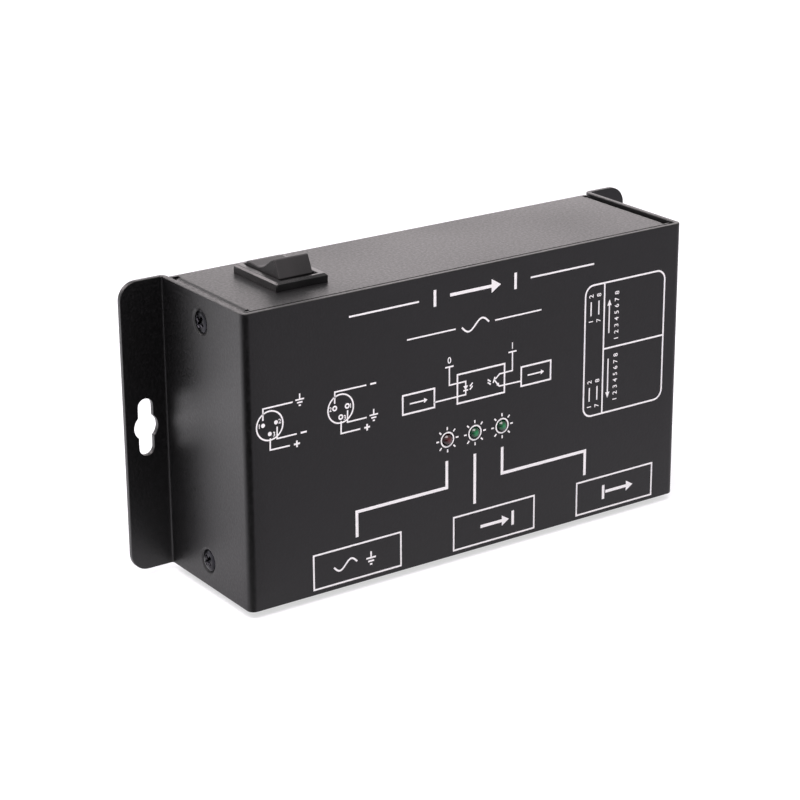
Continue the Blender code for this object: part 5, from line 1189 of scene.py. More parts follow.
@dataclass
class PanelPrint:
    """White screen print on the front: frames, circuit lines, lamp rays, plain numbers and signs, no words.

    Places are (x, z) in millimetres on the front face, with z measured from the panel's lower edge. A line is
    a ribbon: every point is moved by half the width along the mean normal of its two runs, stretched by the
    inverse cosine of half the turn so that corners keep the width.
    """

    face_y: float = -41.5 * MM
    lower_edge: float = -40.0 * MM
    skin: float = 0.03 * MM
    ply: float = 0.002 * MM
    plies: int = 7
    mitre_limit: float = 0.4
    dot_sides: int = 20
    figure_height: float = 0.7  # of a digit in Blender's own type at size one
    points: list[np.ndarray] = field(default_factory=list)
    faces: list[list[int]] = field(default_factory=list)
    count: int = 0

    def add(self, points: np.ndarray, faces: Sequence[Sequence[int]]) -> None:
        """Keep one flat shape; the shapes lie on plies in turn, so that crossing ones don't share a plane.

        Args:
            points: (x, z) places in metres on the panel.
            faces: lists of point numbers.
        """
        depth = self.skin + self.ply * (len(self.points) % self.plies)
        self.points.append(np.column_stack([points, np.full(len(points), depth)]))
        self.faces += [[self.count + i for i in f] for f in faces]
        self.count += len(points)

    def line(self, route: Sequence[Point2], width: Stroke = Stroke.FINE, closed: bool = False) -> None:
        """Print a line of one width.

        Args:
            route: (x, z) places in millimetres.
            width: the line's width.
            closed: whether the end joins the start.
        """
        path = np.array(route, float) * MM
        if closed:
            before, after = path - np.roll(path, 1, axis=0), np.roll(path, -1, axis=0) - path
        else:
            run = np.diff(path, axis=0)
            before, after = np.vstack([run[:1], run]), np.vstack([run, run[-1:]])
        before = before / np.linalg.norm(before, axis=1, keepdims=True)
        after = after / np.linalg.norm(after, axis=1, keepdims=True)
        side_before = np.stack([-before[:, 1], before[:, 0]], axis=-1)
        side_after = np.stack([-after[:, 1], after[:, 0]], axis=-1)
        mean = side_before + side_after
        mean = mean / np.linalg.norm(mean, axis=1, keepdims=True)
        half = width.value / 2 / np.maximum((mean * side_after).sum(axis=1, keepdims=True), self.mitre_limit)
        rails = np.stack([path + mean * half, path - mean * half], axis=1)
        count = len(path)
        steps = np.arange(count if closed else count - 1)
        following = (steps + 1) % count
        quads = np.stack([2 * steps, 2 * steps + 1, 2 * following + 1, 2 * following], axis=-1)
        self.add(rails.reshape(-1, 2), quads.tolist())

    @staticmethod
    def circle(centre: Point2, radius: float, sides: int) -> np.ndarray:
        """Points round a circle: centre + r (cos a, sin a)."""
        angle = np.radians(np.linspace(0, 360, sides, endpoint=False))
        return np.stack([centre[0] + radius * np.cos(angle), centre[1] + radius * np.sin(angle)], axis=-1)

    def ring(self, centre: Point2, radius: float) -> None:
        """Print a fine ring; the places are in millimetres."""
        self.line(self.circle(centre, radius, 36), closed=True)

    def dot(self, centre: Point2, radius: float) -> None:
        """Print a filled disc; the places are in millimetres."""
        self.add(self.circle(centre, radius, self.dot_sides) * MM, [list(range(self.dot_sides))])

    def filled(self, corners: Sequence[Point2]) -> None:
        """Print a filled polygon with corners counter-clockwise, in millimetres."""
        self.add(np.array(corners, float) * MM, [list(range(len(corners)))])

    def frame(self, left: float, right: float, low: float, high: float, radius: float = 0.0) -> None:
        """Print a rectangle's outline.

        Args:
            left: lowest x in millimetres.
            right: highest x.
            low: lowest z.
            high: highest z.
            radius: radius of its corners.
        """
        if not radius:
            self.line([(left, low), (right, low), (right, high), (left, high)], Stroke.FRAME, closed=True)
            return
        quarter = np.radians(np.linspace(0, 90, 7))
        arcs = []
        for k, (x, z) in enumerate([(right, high), (left, high), (left, low), (right, low)]):
            x += -radius if x == right else radius
            z += -radius if z == high else radius
            angle = quarter + k * math.pi / 2
            arcs.append(np.stack([x + radius * np.cos(angle), z + radius * np.sin(angle)], axis=-1))
        self.line(np.concatenate(arcs), Stroke.FRAME, closed=True)

    def number(self, text: str, centre: Point2, height: float, turn: float = 0.0, bold: float = 0.0) -> None:
        """Print a plain number or sign in Blender's own type, made a flat mesh.

        Args:
            text: digits or signs.
            centre: (x, z) in millimetres.
            height: the digits' height in millimetres.
            turn: turned by this many degrees.
            bold: how much each stroke is thickened, in millimetres.
        """
        curve = bpy.data.curves.new("number", "FONT")
        curve.body = text
        curve.resolution_u = 3
        curve.offset = bold / height * self.figure_height
        holder = bpy.data.objects.new("number", curve)
        bpy.context.scene.collection.objects.link(holder)
        bpy.context.view_layer.update()
        mesh = bpy.data.meshes.new_from_object(holder.evaluated_get(bpy.context.evaluated_depsgraph_get()))
        flat = np.zeros(len(mesh.vertices) * 3)
        mesh.vertices.foreach_get("co", flat)
        flat = flat.reshape(-1, 3)[:, :2]
        middle = (flat.min(axis=0) + flat.max(axis=0)) / 2
        angle = math.radians(turn)
        spin = np.array([[math.cos(angle), -math.sin(angle)], [math.sin(angle), math.cos(angle)]])
        placed = (flat - middle) * (height / self.figure_height) @ spin.T + np.array(centre)
        faces = [list(p.vertices) for p in mesh.polygons]
        area = sum(self.signed_area(placed[f]) for f in faces)
        self.add(placed * MM, faces if area > 0 else [f[::-1] for f in faces])
        bpy.data.objects.remove(holder)
        bpy.data.meshes.remove(mesh)
        bpy.data.curves.remove(curve)

    @staticmethod
    def signed_area(corners: np.ndarray) -> float:
        """Area of a polygon, positive when it runs counter-clockwise: half the sum of cross products."""
        following = np.roll(corners, -1, axis=0)
        return float((corners[:, 0] * following[:, 1] - corners[:, 1] * following[:, 0]).sum() / 2)

    def build(self) -> bpy.types.Object:
        """Lay the whole print on the front as one thin skin.

        Returns:
            The print.
        """
        self.socket_frames()
        self.lamps()
        self.circuit()
        self.socket_faces()
        self.pin_table()
        self.heading()
        flat = np.concatenate(self.points)
        points = np.column_stack([flat[:, 0], self.face_y - flat[:, 2], flat[:, 1] + self.lower_edge])
        piece = mesh_object("front_print", points, self.faces)
        WHITE_INK.dress(piece)
        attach(piece, Body.CASE.value)
        return piece

    def socket_frames(self) -> None:
        """Three frames over the sockets below and the bold lines that lead to them from the lamps."""
        self.frame(-51.4, -24.1, 1.6, 11.2)
        self.frame(-6.9, 20.2, 1.5, 11.05)
        self.frame(35.1, 62.1, 1.45, 11.05)
        self.line([(-9.2, 27.9), (-9.2, 20.3), (-37.9, 20.3), (-37.9, 13.2)], Stroke.BOLD)
        self.line([(0, 27.9), (0, 13.5)], Stroke.BOLD)
        self.line([(9.1, 27.8), (9.1, 20.2), (37.7, 20.2), (37.7, 13.0)], Stroke.BOLD)
        self.sine((-41.6, 6.4), 3.6, 2.6)
        self.earth_sign((-33.6, 6.3), 1.5)
        self.arrow((2.0, 6.3), (11.6, 6.3), 1.5)
        self.line([(12.9, 8.4), (12.9, 4.2)], Stroke.BOLD)
        self.line([(44.6, 8.4), (44.6, 4.2)], Stroke.BOLD)
        self.arrow((45.4, 6.3), (55.2, 6.3), 1.5)

    def sine(self, centre: Point2, half_width: float, height: float) -> None:
        """Print one wave of alternating current: z = height/2 sin(pi x / half width).

        Args:
            centre: (x, z) in millimetres.
            half_width: half its length.
            height: from trough to crest.
        """
        x = np.linspace(-half_width, half_width, 33)
        wave = np.stack([centre[0] + x, centre[1] + height / 2 * np.sin(math.pi * x / half_width)], axis=-1)
        self.line(wave, Stroke.FRAME)

    def earth_sign(self, centre: Point2, size: float, width: Stroke = Stroke.FRAME) -> None:
        """Print the sign for earth: an upright and three bars that shorten downward.

        Args:
            centre: the middle of its longest bar, in millimetres.
            size: half that bar's length.
            width: the lines' width.
        """
        x, z = centre
        self.line([(x, z + 1.2 * size), (x, z)], width)
        for k, half in enumerate((1.0, 0.62, 0.25)):
            self.line([(x - half * size, z - 0.6 * k * size), (x + half * size, z - 0.6 * k * size)], width)

    def arrow(self, start: Point2, end: Point2, size: float, width: Stroke = Stroke.BOLD) -> None:
        """Print a level arrow with a filled head.

        Args:
            start: where it starts, in millimetres.
            end: its tip.
            size: half the head's height.
            width: the shaft's width.
        """
        way = math.copysign(1, end[0] - start[0])
        neck = end[0] - way * 1.6 * size
        self.line([start, (neck, end[1])], width)
        head = [(neck, end[1] - size), end, (neck, end[1] + size)]
        self.filled(head if way > 0 else head[::-1])

    def lamps(self) -> None:
        """A ring and eight rays round each indicator."""
        for x in (-9.0, 0.0, 9.0):
            self.ring((x, 33.9), 2.0)
            for k in range(8):
                way = np.array([math.cos(k * math.pi / 4 + 0.02), math.sin(k * math.pi / 4 + 0.02)])
                self.line([(x, 33.9) + 2.7 * way, (x, 33.9) + 3.6 * way])

    def circuit(self) -> None:
        """The isolator's diagram: two signal boxes, a lamp and a light-sensitive switch, two supplies."""
        self.frame(-23.25, -13.2, 43.9, 49.15)
        self.frame(15.25, 25.2, 43.8, 49.2)
        self.arrow((-21.0, 46.5), (-15.4, 46.5), 0.7, Stroke.FINE)
        self.arrow((17.4, 46.5), (23.0, 46.5), 0.7, Stroke.FINE)
        self.frame(-5.8, 9.65, 43.3, 51.35)
        self.line([(-13.2, 45.25), (-3.1, 45.3), (-3.1, 49.0), (-8.4, 49.0), (-8.4, 54.1)])
        self.line([(-9.75, 54.1), (-7.05, 54.1)])
        self.filled([(-3.9, 47.8), (-3.1, 46.6), (-2.3, 47.8)])
        self.line([(-3.9, 46.5), (-2.3, 46.5)])
        for z in (47.6, 46.7):
            self.line([(-1.75, z - 0.3), (-0.85, z + 0.6)])
        self.line([(10.9, 54.2), (13.6, 54.2)])
        self.line([(12.25, 54.2), (12.25, 48.9), (8.0, 48.8), (6.6, 47.6)])
        self.line([(6.5, 48.3), (5.9, 46.7)])
        self.line([(6.4, 47.3), (7.9, 45.4), (15.25, 45.3)])
        self.filled([(7.9, 45.4), (7.8, 46.5), (7.0, 45.8)])
        for z in (48.0, 47.2):
            self.line([(4.1, z), (5.1, z - 0.75)])
        self.number("0", (-8.4, 55.9), 1.75, bold=0.03)
        self.number("1", (12.2, 55.9), 1.75, bold=0.03)

    def socket_faces(self) -> None:
        """Faces of the two signal connectors with their pins' numbers and lines to each pin's sign."""
        self.ring((-63.55, 49.8), 3.86)
        for place in ((-65.5, 50.2), (-61.7, 50.3), (-63.6, 47.6)):
            self.dot(place, 0.57)
        for text, place in zip("123", ((-66.6, 50.2), (-60.6, 50.4), (-62.35, 47.3))):
            self.number(text, place, 1.2, bold=0.02)
        self.line([(-65.5, 51.5), (-65.4, 54.6), (-56.7, 54.6)])
        self.line([(-61.4, 49.1), (-61.5, 45.9), (-55.7, 45.9)])
        self.line([(-63.5, 46.4), (-63.6, 43.3), (-57.8, 43.2)])
        self.ring((-42.4, 49.8), 3.86)
        for place in ((-44.2, 50.2), (-40.4, 50.1), (-42.4, 47.5)):
            self.ring(place, 0.55)
        for text, place in zip("213", ((-45.5, 50.2), (-39.4, 50.0), (-41.2, 47.2))):
            self.number(text, place, 1.2, bold=0.02)
        self.line([(-44.2, 51.5), (-44.1, 54.6), (-34.5, 54.5)])
        self.line([(-40.3, 48.9), (-40.4, 45.7), (-34.5, 45.7)])
        self.line([(-42.3, 46.4), (-42.4, 43.0), (-36.5, 43.0)])
        self.earth_sign((-54.6, 54.9), 1.3, Stroke.FINE)
        self.sign((-53.6, 45.9), plus=False)
        self.sign((-55.7, 43.2), plus=True)
        self.sign((-32.4, 54.5), plus=False)
        self.earth_sign((-32.3, 46.0), 1.3, Stroke.FINE)
        self.sign((-34.4, 43.0), plus=True)

    def sign(self, centre: Point2, plus: bool) -> None:
        """Print a plus or a minus sign 1.8 mm wide.

        Args:
            centre: (x, z) in millimetres.
            plus: whether it is a plus.
        """
        x, z = centre
        self.line([(x - 0.9, z), (x + 0.9, z)], Stroke.FRAME)
        if plus:
            self.line([(x, z - 0.9), (x, z + 0.9)], Stroke.FRAME)

    def pin_table(self) -> None:
        """The table of the network sockets' ways: a rounded frame, two rules and rows of plain numbers."""
        self.frame(36.8, 64.7, 30.05, 67.65, 2.8)
        self.line([(43.4, 30.05), (43.4, 67.65)], Stroke.FRAME)
        self.line([(43.4, 48.7), (64.7, 48.7)], Stroke.FRAME)
        for low, high in ((50.1, 65.0), (32.4, 47.1)):
            for k in range(8):
                self.number(str(k + 1), (47.8, low + (high - low) * (k + 0.5) / 8), 1.45, 90, 0.03)
        self.arrow_up((45.2, 53.0), 62.6)
        self.arrow_up((45.2, 45.6), 34.2)
        for x, low, high in ((38.8, 57.4, 64.6), (41.5, 57.4, 64.6), (38.8, 32.8, 40.0), (41.5, 32.8, 40.0)):
            self.number("1" if x < 40 else "7", (x, low), 1.45, 90, 0.03)
            self.line([(x, low + 1.6), (x, high - 1.6)])
            self.number("2" if x < 40 else "8", (x, high), 1.45, 90, 0.03)

    def arrow_up(self, start: Point2, end: float) -> None:
        """Print an upright arrow that points up or down.

        Args:
            start: where it starts, in millimetres.
            end: its tip's z.
        """
        x, z = start
        way = math.copysign(1, end - z)
        neck = end - way * 1.7
        self.line([start, (x, neck)])
        head = [(x - 0.75, neck), (x + 0.75, neck), (x, end)]
        self.filled(head if way > 0 else head[::-1])

    def heading(self) -> None:
        """In the heading's place, one input to one output in bold figures; below it a rule with a wave."""
        self.number("1", (-13.0, 73.7), 4.4, bold=0.12)
        self.arrow((-8.2, 73.7), (8.2, 73.7), 1.9)
        self.number("1", (13.0, 73.7), 4.4, bold=0.12)
        self.line([(-39.5, 73.7), (-18.0, 73.7)], Stroke.FRAME)
        self.line([(18.0, 73.7), (39.5, 73.7)], Stroke.FRAME)
        self.sine((0.0, 64.1), 4.4, 3.0)
        self.line([(-21.8, 64.1), (-6.4, 64.1)])
        self.line([(6.4, 64.1), (21.8, 64.1)])


# ------------ switch and indicators


@dataclass
class RockerSwitch:
    """The switch in the top: a chamfered bezel round a well, and a dished rocker that rests front side up.

    The rocker is its side outline carried across its width. The outline's ends are drawn in by a quarter
    circle near each side face, so that the side edges are round: at a distance d from the side within the
    radius r, the outline shrinks along its normal by r - sqrt(r^2 - (r - d)^2).
    """

    middle: tuple[float, float] = (-45.5 * MM, -19.0 * MM)
    bezel: tuple[float, float, float] = (15.6 * MM, 21.2 * MM, 2.4 * MM)
    top: float = 42.0 * MM
    well: tuple[float, float] = (10.8 * MM, 17.8 * MM)
    well_depth: float = 14.4 * MM
    body: tuple[float, float, float] = (12.8 * MM, 18.6 * MM, 17.1 * MM)
    pivot_height: float = 38.5 * MM
    tilt: float = math.radians(-15)
    width: float = 10.2 * MM
    round_side: float = 0.3 * MM
    corner: float = 0.45 * MM
    corner_cap: float = 0.9
    corner_lines: int = 8
    pole: float = 0.001 * MM
    rocker_corners: tuple[tuple[float, float, float], ...] = (
        (8.1, 1.3, 0.4),
        (7.2, 6.4, 0.55),
        (5.4, 6.15, 1.6),
        (0.0, 4.2, 9.0),
        (-5.4, 6.15, 1.6),
        (-7.2, 6.4, 0.55),
        (-8.1, 1.3, 0.4),
        (-6.4, -1.6, 0.3),
        (6.4, -1.6, 0.3),
    )

    def bezel_piece(self) -> bpy.types.Object:
        """The frame: rounded rectangles, one for each step from the well's floor over its lip to the body.

        A point at angle a is (+-(hx - r) + r cos a, +-(hy - r) + r sin a), with a rectangle's half sizes hx
        and hy, its corner radius r and the signs of a's quarter. A row says by how much hx and hy differ from
        the bezel's, and its height. A rectangle as small as the pole closes each end.

        Returns:
            The bezel.
        """
        half_x, half_y, thick = self.bezel[0] / 2, self.bezel[1] / 2, self.bezel[2]
        pole = (self.pole - half_x, self.pole - half_y)
        well = (self.well[0] / 2 - half_x, self.well[1] / 2 - half_y)
        body = (self.body[0] / 2 - half_x, self.body[1] / 2 - half_y)
        rows = [(*pole, -self.well_depth), (*well, -self.well_depth)]
        lip = ((0.0, -0.45), (0.08, -0.2), (0.3, -0.03), (0.5, 0.0))
        rows += [(well[0] + out * MM, well[1] + out * MM, z * MM) for out, z in lip]
        chamfer = ((0.72, 0.0), (0.6, -0.03), (0.5, -0.1), (0.08, -0.5), (0.0, -0.62))
        rows += [(-back * MM, -back * MM, z * MM) for back, z in chamfer]
        rows += [(0.0, 0.0, -thick + 0.1 * MM), (-0.1 * MM, -0.1 * MM, -thick)]
        rows += [(*body, -thick), (*body, -self.body[2]), (*pole, -self.body[2])]
        steps = np.array(rows)
        hx, hy = half_x + steps[:, :1], half_y + steps[:, 1:2]
        radius = np.minimum(self.corner, np.minimum(hx, hy) * self.corner_cap)
        quarter = np.linspace(0, math.pi / 2, self.corner_lines)
        angle = (quarter[None] + np.arange(4)[:, None] * math.pi / 2).ravel()[None]
        side_x = np.repeat([1, -1, -1, 1], len(quarter))[None]
        side_y = np.repeat([1, 1, -1, -1], len(quarter))[None]
        x = self.middle[0] + side_x * (hx - radius) + radius * np.cos(angle)
        y = self.middle[1] + side_y * (hy - radius) + radius * np.sin(angle)
        z = np.repeat(self.top + steps[:, 2:], angle.size, axis=1)
        points = np.stack([x, y, z], axis=-1).reshape(-1, 3)
        piece = mesh_object("switch_bezel", points, grid_faces(len(rows), angle.size, wrap=True))
        recalculated(piece)
        flat_sided(piece)
        BEZEL_NYLON.dress(piece)
        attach(piece, Body.CASE.value)
        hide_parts("switch_housing")
        return piece

    def outline(self) -> np.ndarray:
        """Side outline of the rocker about its pivot: (y, z) pairs, counter-clockwise, before it is tilted.

        rocker_corners gives each corner's y, z and radius in millimetres. A corner is an arc that touches
        both of its lines, with a smaller radius where they are too short for it.

        Returns:
            An (n, 2) array in metres.
        """
        spots = np.array([corner[:2] for corner in self.rocker_corners])
        parts = []
        for k, (y, z, radius) in enumerate(self.rocker_corners):
            here = np.array([y, z])
            before, after = spots[k - 1] - here, spots[(k + 1) % len(spots)] - here
            in_room, out_room = np.linalg.norm(before), np.linalg.norm(after)
            before, after = before / in_room, after / out_room
            half = math.acos(np.clip(before @ after, -1, 1)) / 2
            reach = min(radius / math.tan(half), 0.45 * in_room, 0.45 * out_room)
            radius = reach * math.tan(half)
            bisector = (before + after) / np.linalg.norm(before + after)
            centre = here + bisector * radius / math.sin(half)
            first, last = here + before * reach - centre, here + after * reach - centre
            sweep = math.atan2(first[0] * last[1] - first[1] * last[0], first @ last)
            cos, sin = np.cos(np.linspace(0, sweep, 9)), np.sin(np.linspace(0, sweep, 9))
            spun = np.stack([first[0] * cos - first[1] * sin, first[0] * sin + first[1] * cos], axis=-1)
            parts.append(centre + spun)
        return np.concatenate(parts) * MM

    def rocker_piece(self) -> bpy.types.Object:
        """The rocker at its resting tilt, its side edges rounded.

        Returns:
            The rocker.
        """
        line = self.outline()
        ahead, behind = np.roll(line, -1, axis=0), np.roll(line, 1, axis=0)
        along = (ahead - behind) / np.linalg.norm(ahead - behind, axis=1, keepdims=True)
        normal = np.stack([-along[:, 1], along[:, 0]], axis=-1)
        step = np.linspace(0, math.pi / 2, 6)
        edge = self.round_side
        inset = edge * (1 - np.sin(step))
        place = edge * (1 - np.cos(step))
        half = self.width / 2
        across = np.concatenate([-half + place, (half - place)[::-1]])
        draw = np.concatenate([inset, inset[::-1]])
        shape = line[None] + normal[None] * draw[:, None, None]
        cos, sin = math.cos(self.tilt), math.sin(self.tilt)
        y = shape[..., 0] * cos - shape[..., 1] * sin + self.middle[1]
        z = shape[..., 0] * sin + shape[..., 1] * cos + self.pivot_height
        x = np.repeat(self.middle[0] + across[:, None], len(line), axis=1)
        points = np.stack([x, y, z], axis=-1).reshape(-1, 3)
        faces = grid_faces(len(across), len(line), wrap=True)[:, ::-1].tolist()
        faces += [list(range(len(line)))[::-1], [len(points) - len(line) + i for i in range(len(line))]]
        piece = mesh_object("rocker_cap", points, faces)
        recalculated(piece)
        flat_sided(piece)
        SWITCH_NYLON.dress(piece)
        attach(piece, Body.ROCKER.value)
        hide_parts("switch_rocker")
        return piece

    def build(self) -> list[bpy.types.Object]:
        """Build the bezel and the rocker.

        Returns:
            The new pieces.
        """
        return [self.bezel_piece(), self.rocker_piece()]


def recalculated(piece: bpy.types.Object) -> None:
    """Make a closed shell's faces point outwards: flip them all if its signed volume is negative.

    Args:
        piece: the object.
    """
    mesh = piece.data
    mesh.calc_loop_triangles()
    corners = np.zeros(len(mesh.vertices) * 3)
    mesh.vertices.foreach_get("co", corners)
    corners = corners.reshape(-1, 3)
    triangles = np.zeros(len(mesh.loop_triangles) * 3, np.int32)
    mesh.loop_triangles.foreach_get("vertices", triangles)
    a, b, c = (corners[triangles.reshape(-1, 3)[:, k]] - corners.mean(axis=0) for k in range(3))
    if (a * np.cross(b, c)).sum() < 0:
        mesh.flip_normals()


@dataclass
class Indicator:
    """One 3 mm lamp: a domed lens whose section is a cylinder that ends in half a sphere, over a collar."""

    x: float
    node: str
    resin: Finish
    z: float = -6.1 * MM
    radius: float = 1.5 * MM
    tip: float = -42.6 * MM
    length: float = 5.3 * MM
    collar: float = 1.9 * MM
    collar_height: float = 1.0 * MM
    leg: float = 0.25 * MM
    leg_pitch: float = 1.27 * MM

    def build(self) -> bpy.types.Object:
        """Build the lens through the cover's hole, and its two legs.

        Returns:
            The lens.
        """
        angle = np.linspace(0, math.pi / 2, 12)
        reach = -self.tip
        arc = [(self.radius * math.sin(a), reach - self.radius + self.radius * math.cos(a)) for a in angle]
        back = reach - self.length
        step = back + self.collar_height
        tail = [(self.radius, step), (self.collar, step), (self.collar, back), (0.0, back)]
        piece = turned(f"lens_{self.node}", [*arc, *tail], (self.x, 0.0, self.z), "-Y", 40)
        recalculated(piece)
        shaded_smooth(piece)
        self.resin.dress(piece)
        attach(piece, Body.CASE.value)
        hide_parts(self.node)
        end = -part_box(self.node)[1].y
        for k, side in enumerate((-1, 1), 1):
            wire = [(0.0, back), (self.leg, back), (self.leg, end), (0.0, end)]
            x = self.x + side * self.leg_pitch / 2
            leg = turned(f"leg_{k}_{self.node}", wire, (x, 0.0, self.z), "-Y", 12)
            recalculated(leg)
            SILVER_PLATE.dress(leg)
            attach(leg, Body.CASE.value)
        return piece


# ------------ nodes that keep their shape


@dataclass(frozen=True)
class EdgedNode:
    """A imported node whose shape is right: its copy is merged, its flat faces joined and its edges rounded.

    The angles are in degrees: faces that turn by less than level are joined, edges that turn by more than
    bevelled are rounded, and edges that turn by more than crisp are shaded sharp.
    """

    node: str
    finish: Finish
    body: Body = Body.CASE
    edge: float = 0.15 * MM
    nearest: float = 0.002 * MM
    level: float = 0.6
    bevelled: float = 35.0
    crisp: float = 40.0

    def build(self) -> bpy.types.Object:
        """Copy the node's mesh, merge its corners, join coplanar triangles and bevel what is sharp.

        Returns:
            The new piece.
        """
        source = frame["nodes"][self.node]
        corners = np.zeros(len(source.data.vertices) * 3)
        source.data.vertices.foreach_get("co", corners)
        loops = np.zeros(len(source.data.loops), np.int32)
        source.data.loops.foreach_get("vertex_index", loops)
        points, faces = merged(corners.reshape(-1, 3), loops.reshape(-1, 3), self.nearest)
        piece = mesh_object(f"{self.node}_shell", points, faces)
        flat = piece.modifiers.new("flat_faces", "DECIMATE")
        flat.decimate_type = "DISSOLVE"
        flat.angle_limit = math.radians(self.level)
        bevel = piece.modifiers.new("edges", "BEVEL")
        bevel.width = self.edge
        bevel.segments = 2
        bevel.limit_method = "ANGLE"
        bevel.angle_limit = math.radians(self.bevelled)
        bevel.use_clamp_overlap = True
        fixed_modifiers(piece)
        shaded_smooth(piece)
        piece.modifiers.new("shading", "WEIGHTED_NORMAL").keep_sharp = True
        piece.data.set_sharp_from_angle(angle=math.radians(self.crisp))
        self.finish.dress(piece)
        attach(piece, self.body.value)
        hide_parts(self.node)
        return piece


KEPT_FINISHES = (POWDER_COAT, BLACK_ZINC, BRIGHT_ZINC, SWITCH_NYLON, SOCKET_PBT, INNER_PBT, RED_RESIN)
KEPT_FINISHES += (GREEN_RESIN, SILVER_PLATE, BARE_BRASS, GREEN_LAMINATE, PVC_SLEEVE, FERRITE, POLYESTER_TAPE)
KEPT_FINISHES += (FUSE_GLASS, BROWN_PVC, BLUE_PVC, EARTH_PVC, GREY_PVC)
SLOT_FINISHES: dict[str, Finish] = {finish.slot: finish for finish in KEPT_FINISHES}


def dress_kept_nodes() -> int:
    """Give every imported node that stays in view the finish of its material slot.

    Returns:
        How many nodes were dressed.
    """
    slots = {row["node"]: row["material_slot"] for row in frame["record"]["subparts"]}
    done = 0
    for name, node in frame["nodes"].items():
        if node.hide_render:
            continue
        finish = SLOT_FINISHES[slots[name]]
        node.data.materials.clear()
        node.data.materials.append(finish.material())
        done += 1
    return done


@dataclass(frozen=True)
class ContactPin:
    """One signal pin: a shank whose tip is half a sphere, on a thinner tail with a cup for solder."""

    node: str
    radius: float = 1.2 * MM
    tail: float = 1.1 * MM
    tail_length: float = 5.0 * MM
    cup: float = 0.7 * MM
    cup_depth: float = 3.0 * MM
    crisp: float = 50.0

    def build(self) -> bpy.types.Object:
        """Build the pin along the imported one's axis, tip down.

        Returns:
            The pin.
        """
        low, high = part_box(self.node)
        x, y = (low.x + high.x) / 2, (low.y + high.y) / 2
        angle = np.linspace(0, math.pi / 2, 8)
        tip = [(self.radius * math.sin(a), -self.radius * math.cos(a) + self.radius) for a in angle]
        tall = high.z - low.z
        step, base = tall - self.tail_length, tall - self.cup_depth
        profile = [*tip, (self.radius, step), (self.tail, step), (self.tail, tall), (self.cup, tall)]
        profile += [(self.cup, base), (0.0, base)]
        piece = turned(f"{self.node}_turned", profile, (x, y, low.z), "+Z", 32)
        recalculated(piece)
        shaded_smooth(piece)
        piece.data.set_sharp_from_angle(angle=math.radians(self.crisp))
        SILVER_PLATE.dress(piece)
        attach(piece, Body.CASE.value)
        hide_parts(self.node)
        return piece


@dataclass(frozen=True)
class JackContacts:
    """The eight sprung wires of a network socket, each a round wire that rises along its moulded rib.

    A wire's centre line is p(i) in the plane of its rib. With d the way along it and n = (-d.y, d.x), its
    skin is p + r (cos(a) n + sin(a) z).
    """

    node: str
    ways: int = 8
    pitch: float = 1.02 * MM
    radius: float = 0.2 * MM
    floor_offset: float = 4.3 * MM
    inset: float = 3.0 * MM
    depth: float = 13.0 * MM
    rise: float = 1.6 * MM
    sides: int = 10

    def centre_line(self, face: float, floor: float) -> np.ndarray:
        """(x, y) places along one wire: out of the socket's floor, a short bend, and the slope to its end.

        Args:
            face: x of the socket's front.
            floor: y of the cavity's floor.

        Returns:
            An (n, 2) array in metres.
        """
        run = self.depth - self.inset
        share = np.array([-0.035, -0.02, -0.005, 0.01, 0.03, 0.06, 0.3, 0.6, 0.93])
        dip = np.array([0.5, 0.3, 0.12, 0.02, -0.02, -0.03, -0.03, -0.03, -0.03]) * MM
        x = face - self.inset - share * run
        return np.stack([x, floor - np.maximum(share, 0) * self.rise + dip - self.radius], axis=-1)

    def build(self) -> bpy.types.Object:
        """Sweep the wires inside one socket.

        Returns:
            The eight wires as one piece.
        """
        low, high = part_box(self.node)
        line = self.centre_line(high.x, (low.y + high.y) / 2 + self.floor_offset)
        way = np.gradient(line, axis=0)
        way /= np.linalg.norm(way, axis=1, keepdims=True)
        angle = np.linspace(0, 2 * math.pi, self.sides, endpoint=False)
        out = np.stack([-way[:, 1], way[:, 0]], axis=-1)[:, None] * np.cos(angle)[None, :, None] * self.radius
        ring = line[:, None] + out
        across = np.broadcast_to(np.sin(angle) * self.radius, ring.shape[:2])
        skin = grid_faces(len(line), self.sides, wrap=True)
        points, faces = [], []
        for k in range(self.ways):
            z = (low.z + high.z) / 2 + (k - (self.ways - 1) / 2) * self.pitch
            start = k * len(line) * self.sides
            points.append(np.concatenate([ring, (z + across)[..., None]], axis=-1).reshape(-1, 3))
            faces += (skin + start).tolist()
            last = start + (len(line) - 1) * self.sides
            faces += [[start + i for i in range(self.sides)][::-1], [last + i for i in range(self.sides)]]
        piece = mesh_object(f"{self.node}_contacts", np.concatenate(points), faces)
        recalculated(piece)
        shaded_smooth(piece)
        GOLD_PLATE.dress(piece)
        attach(piece, Body.CASE.value)
        return piece


# ------------ studio


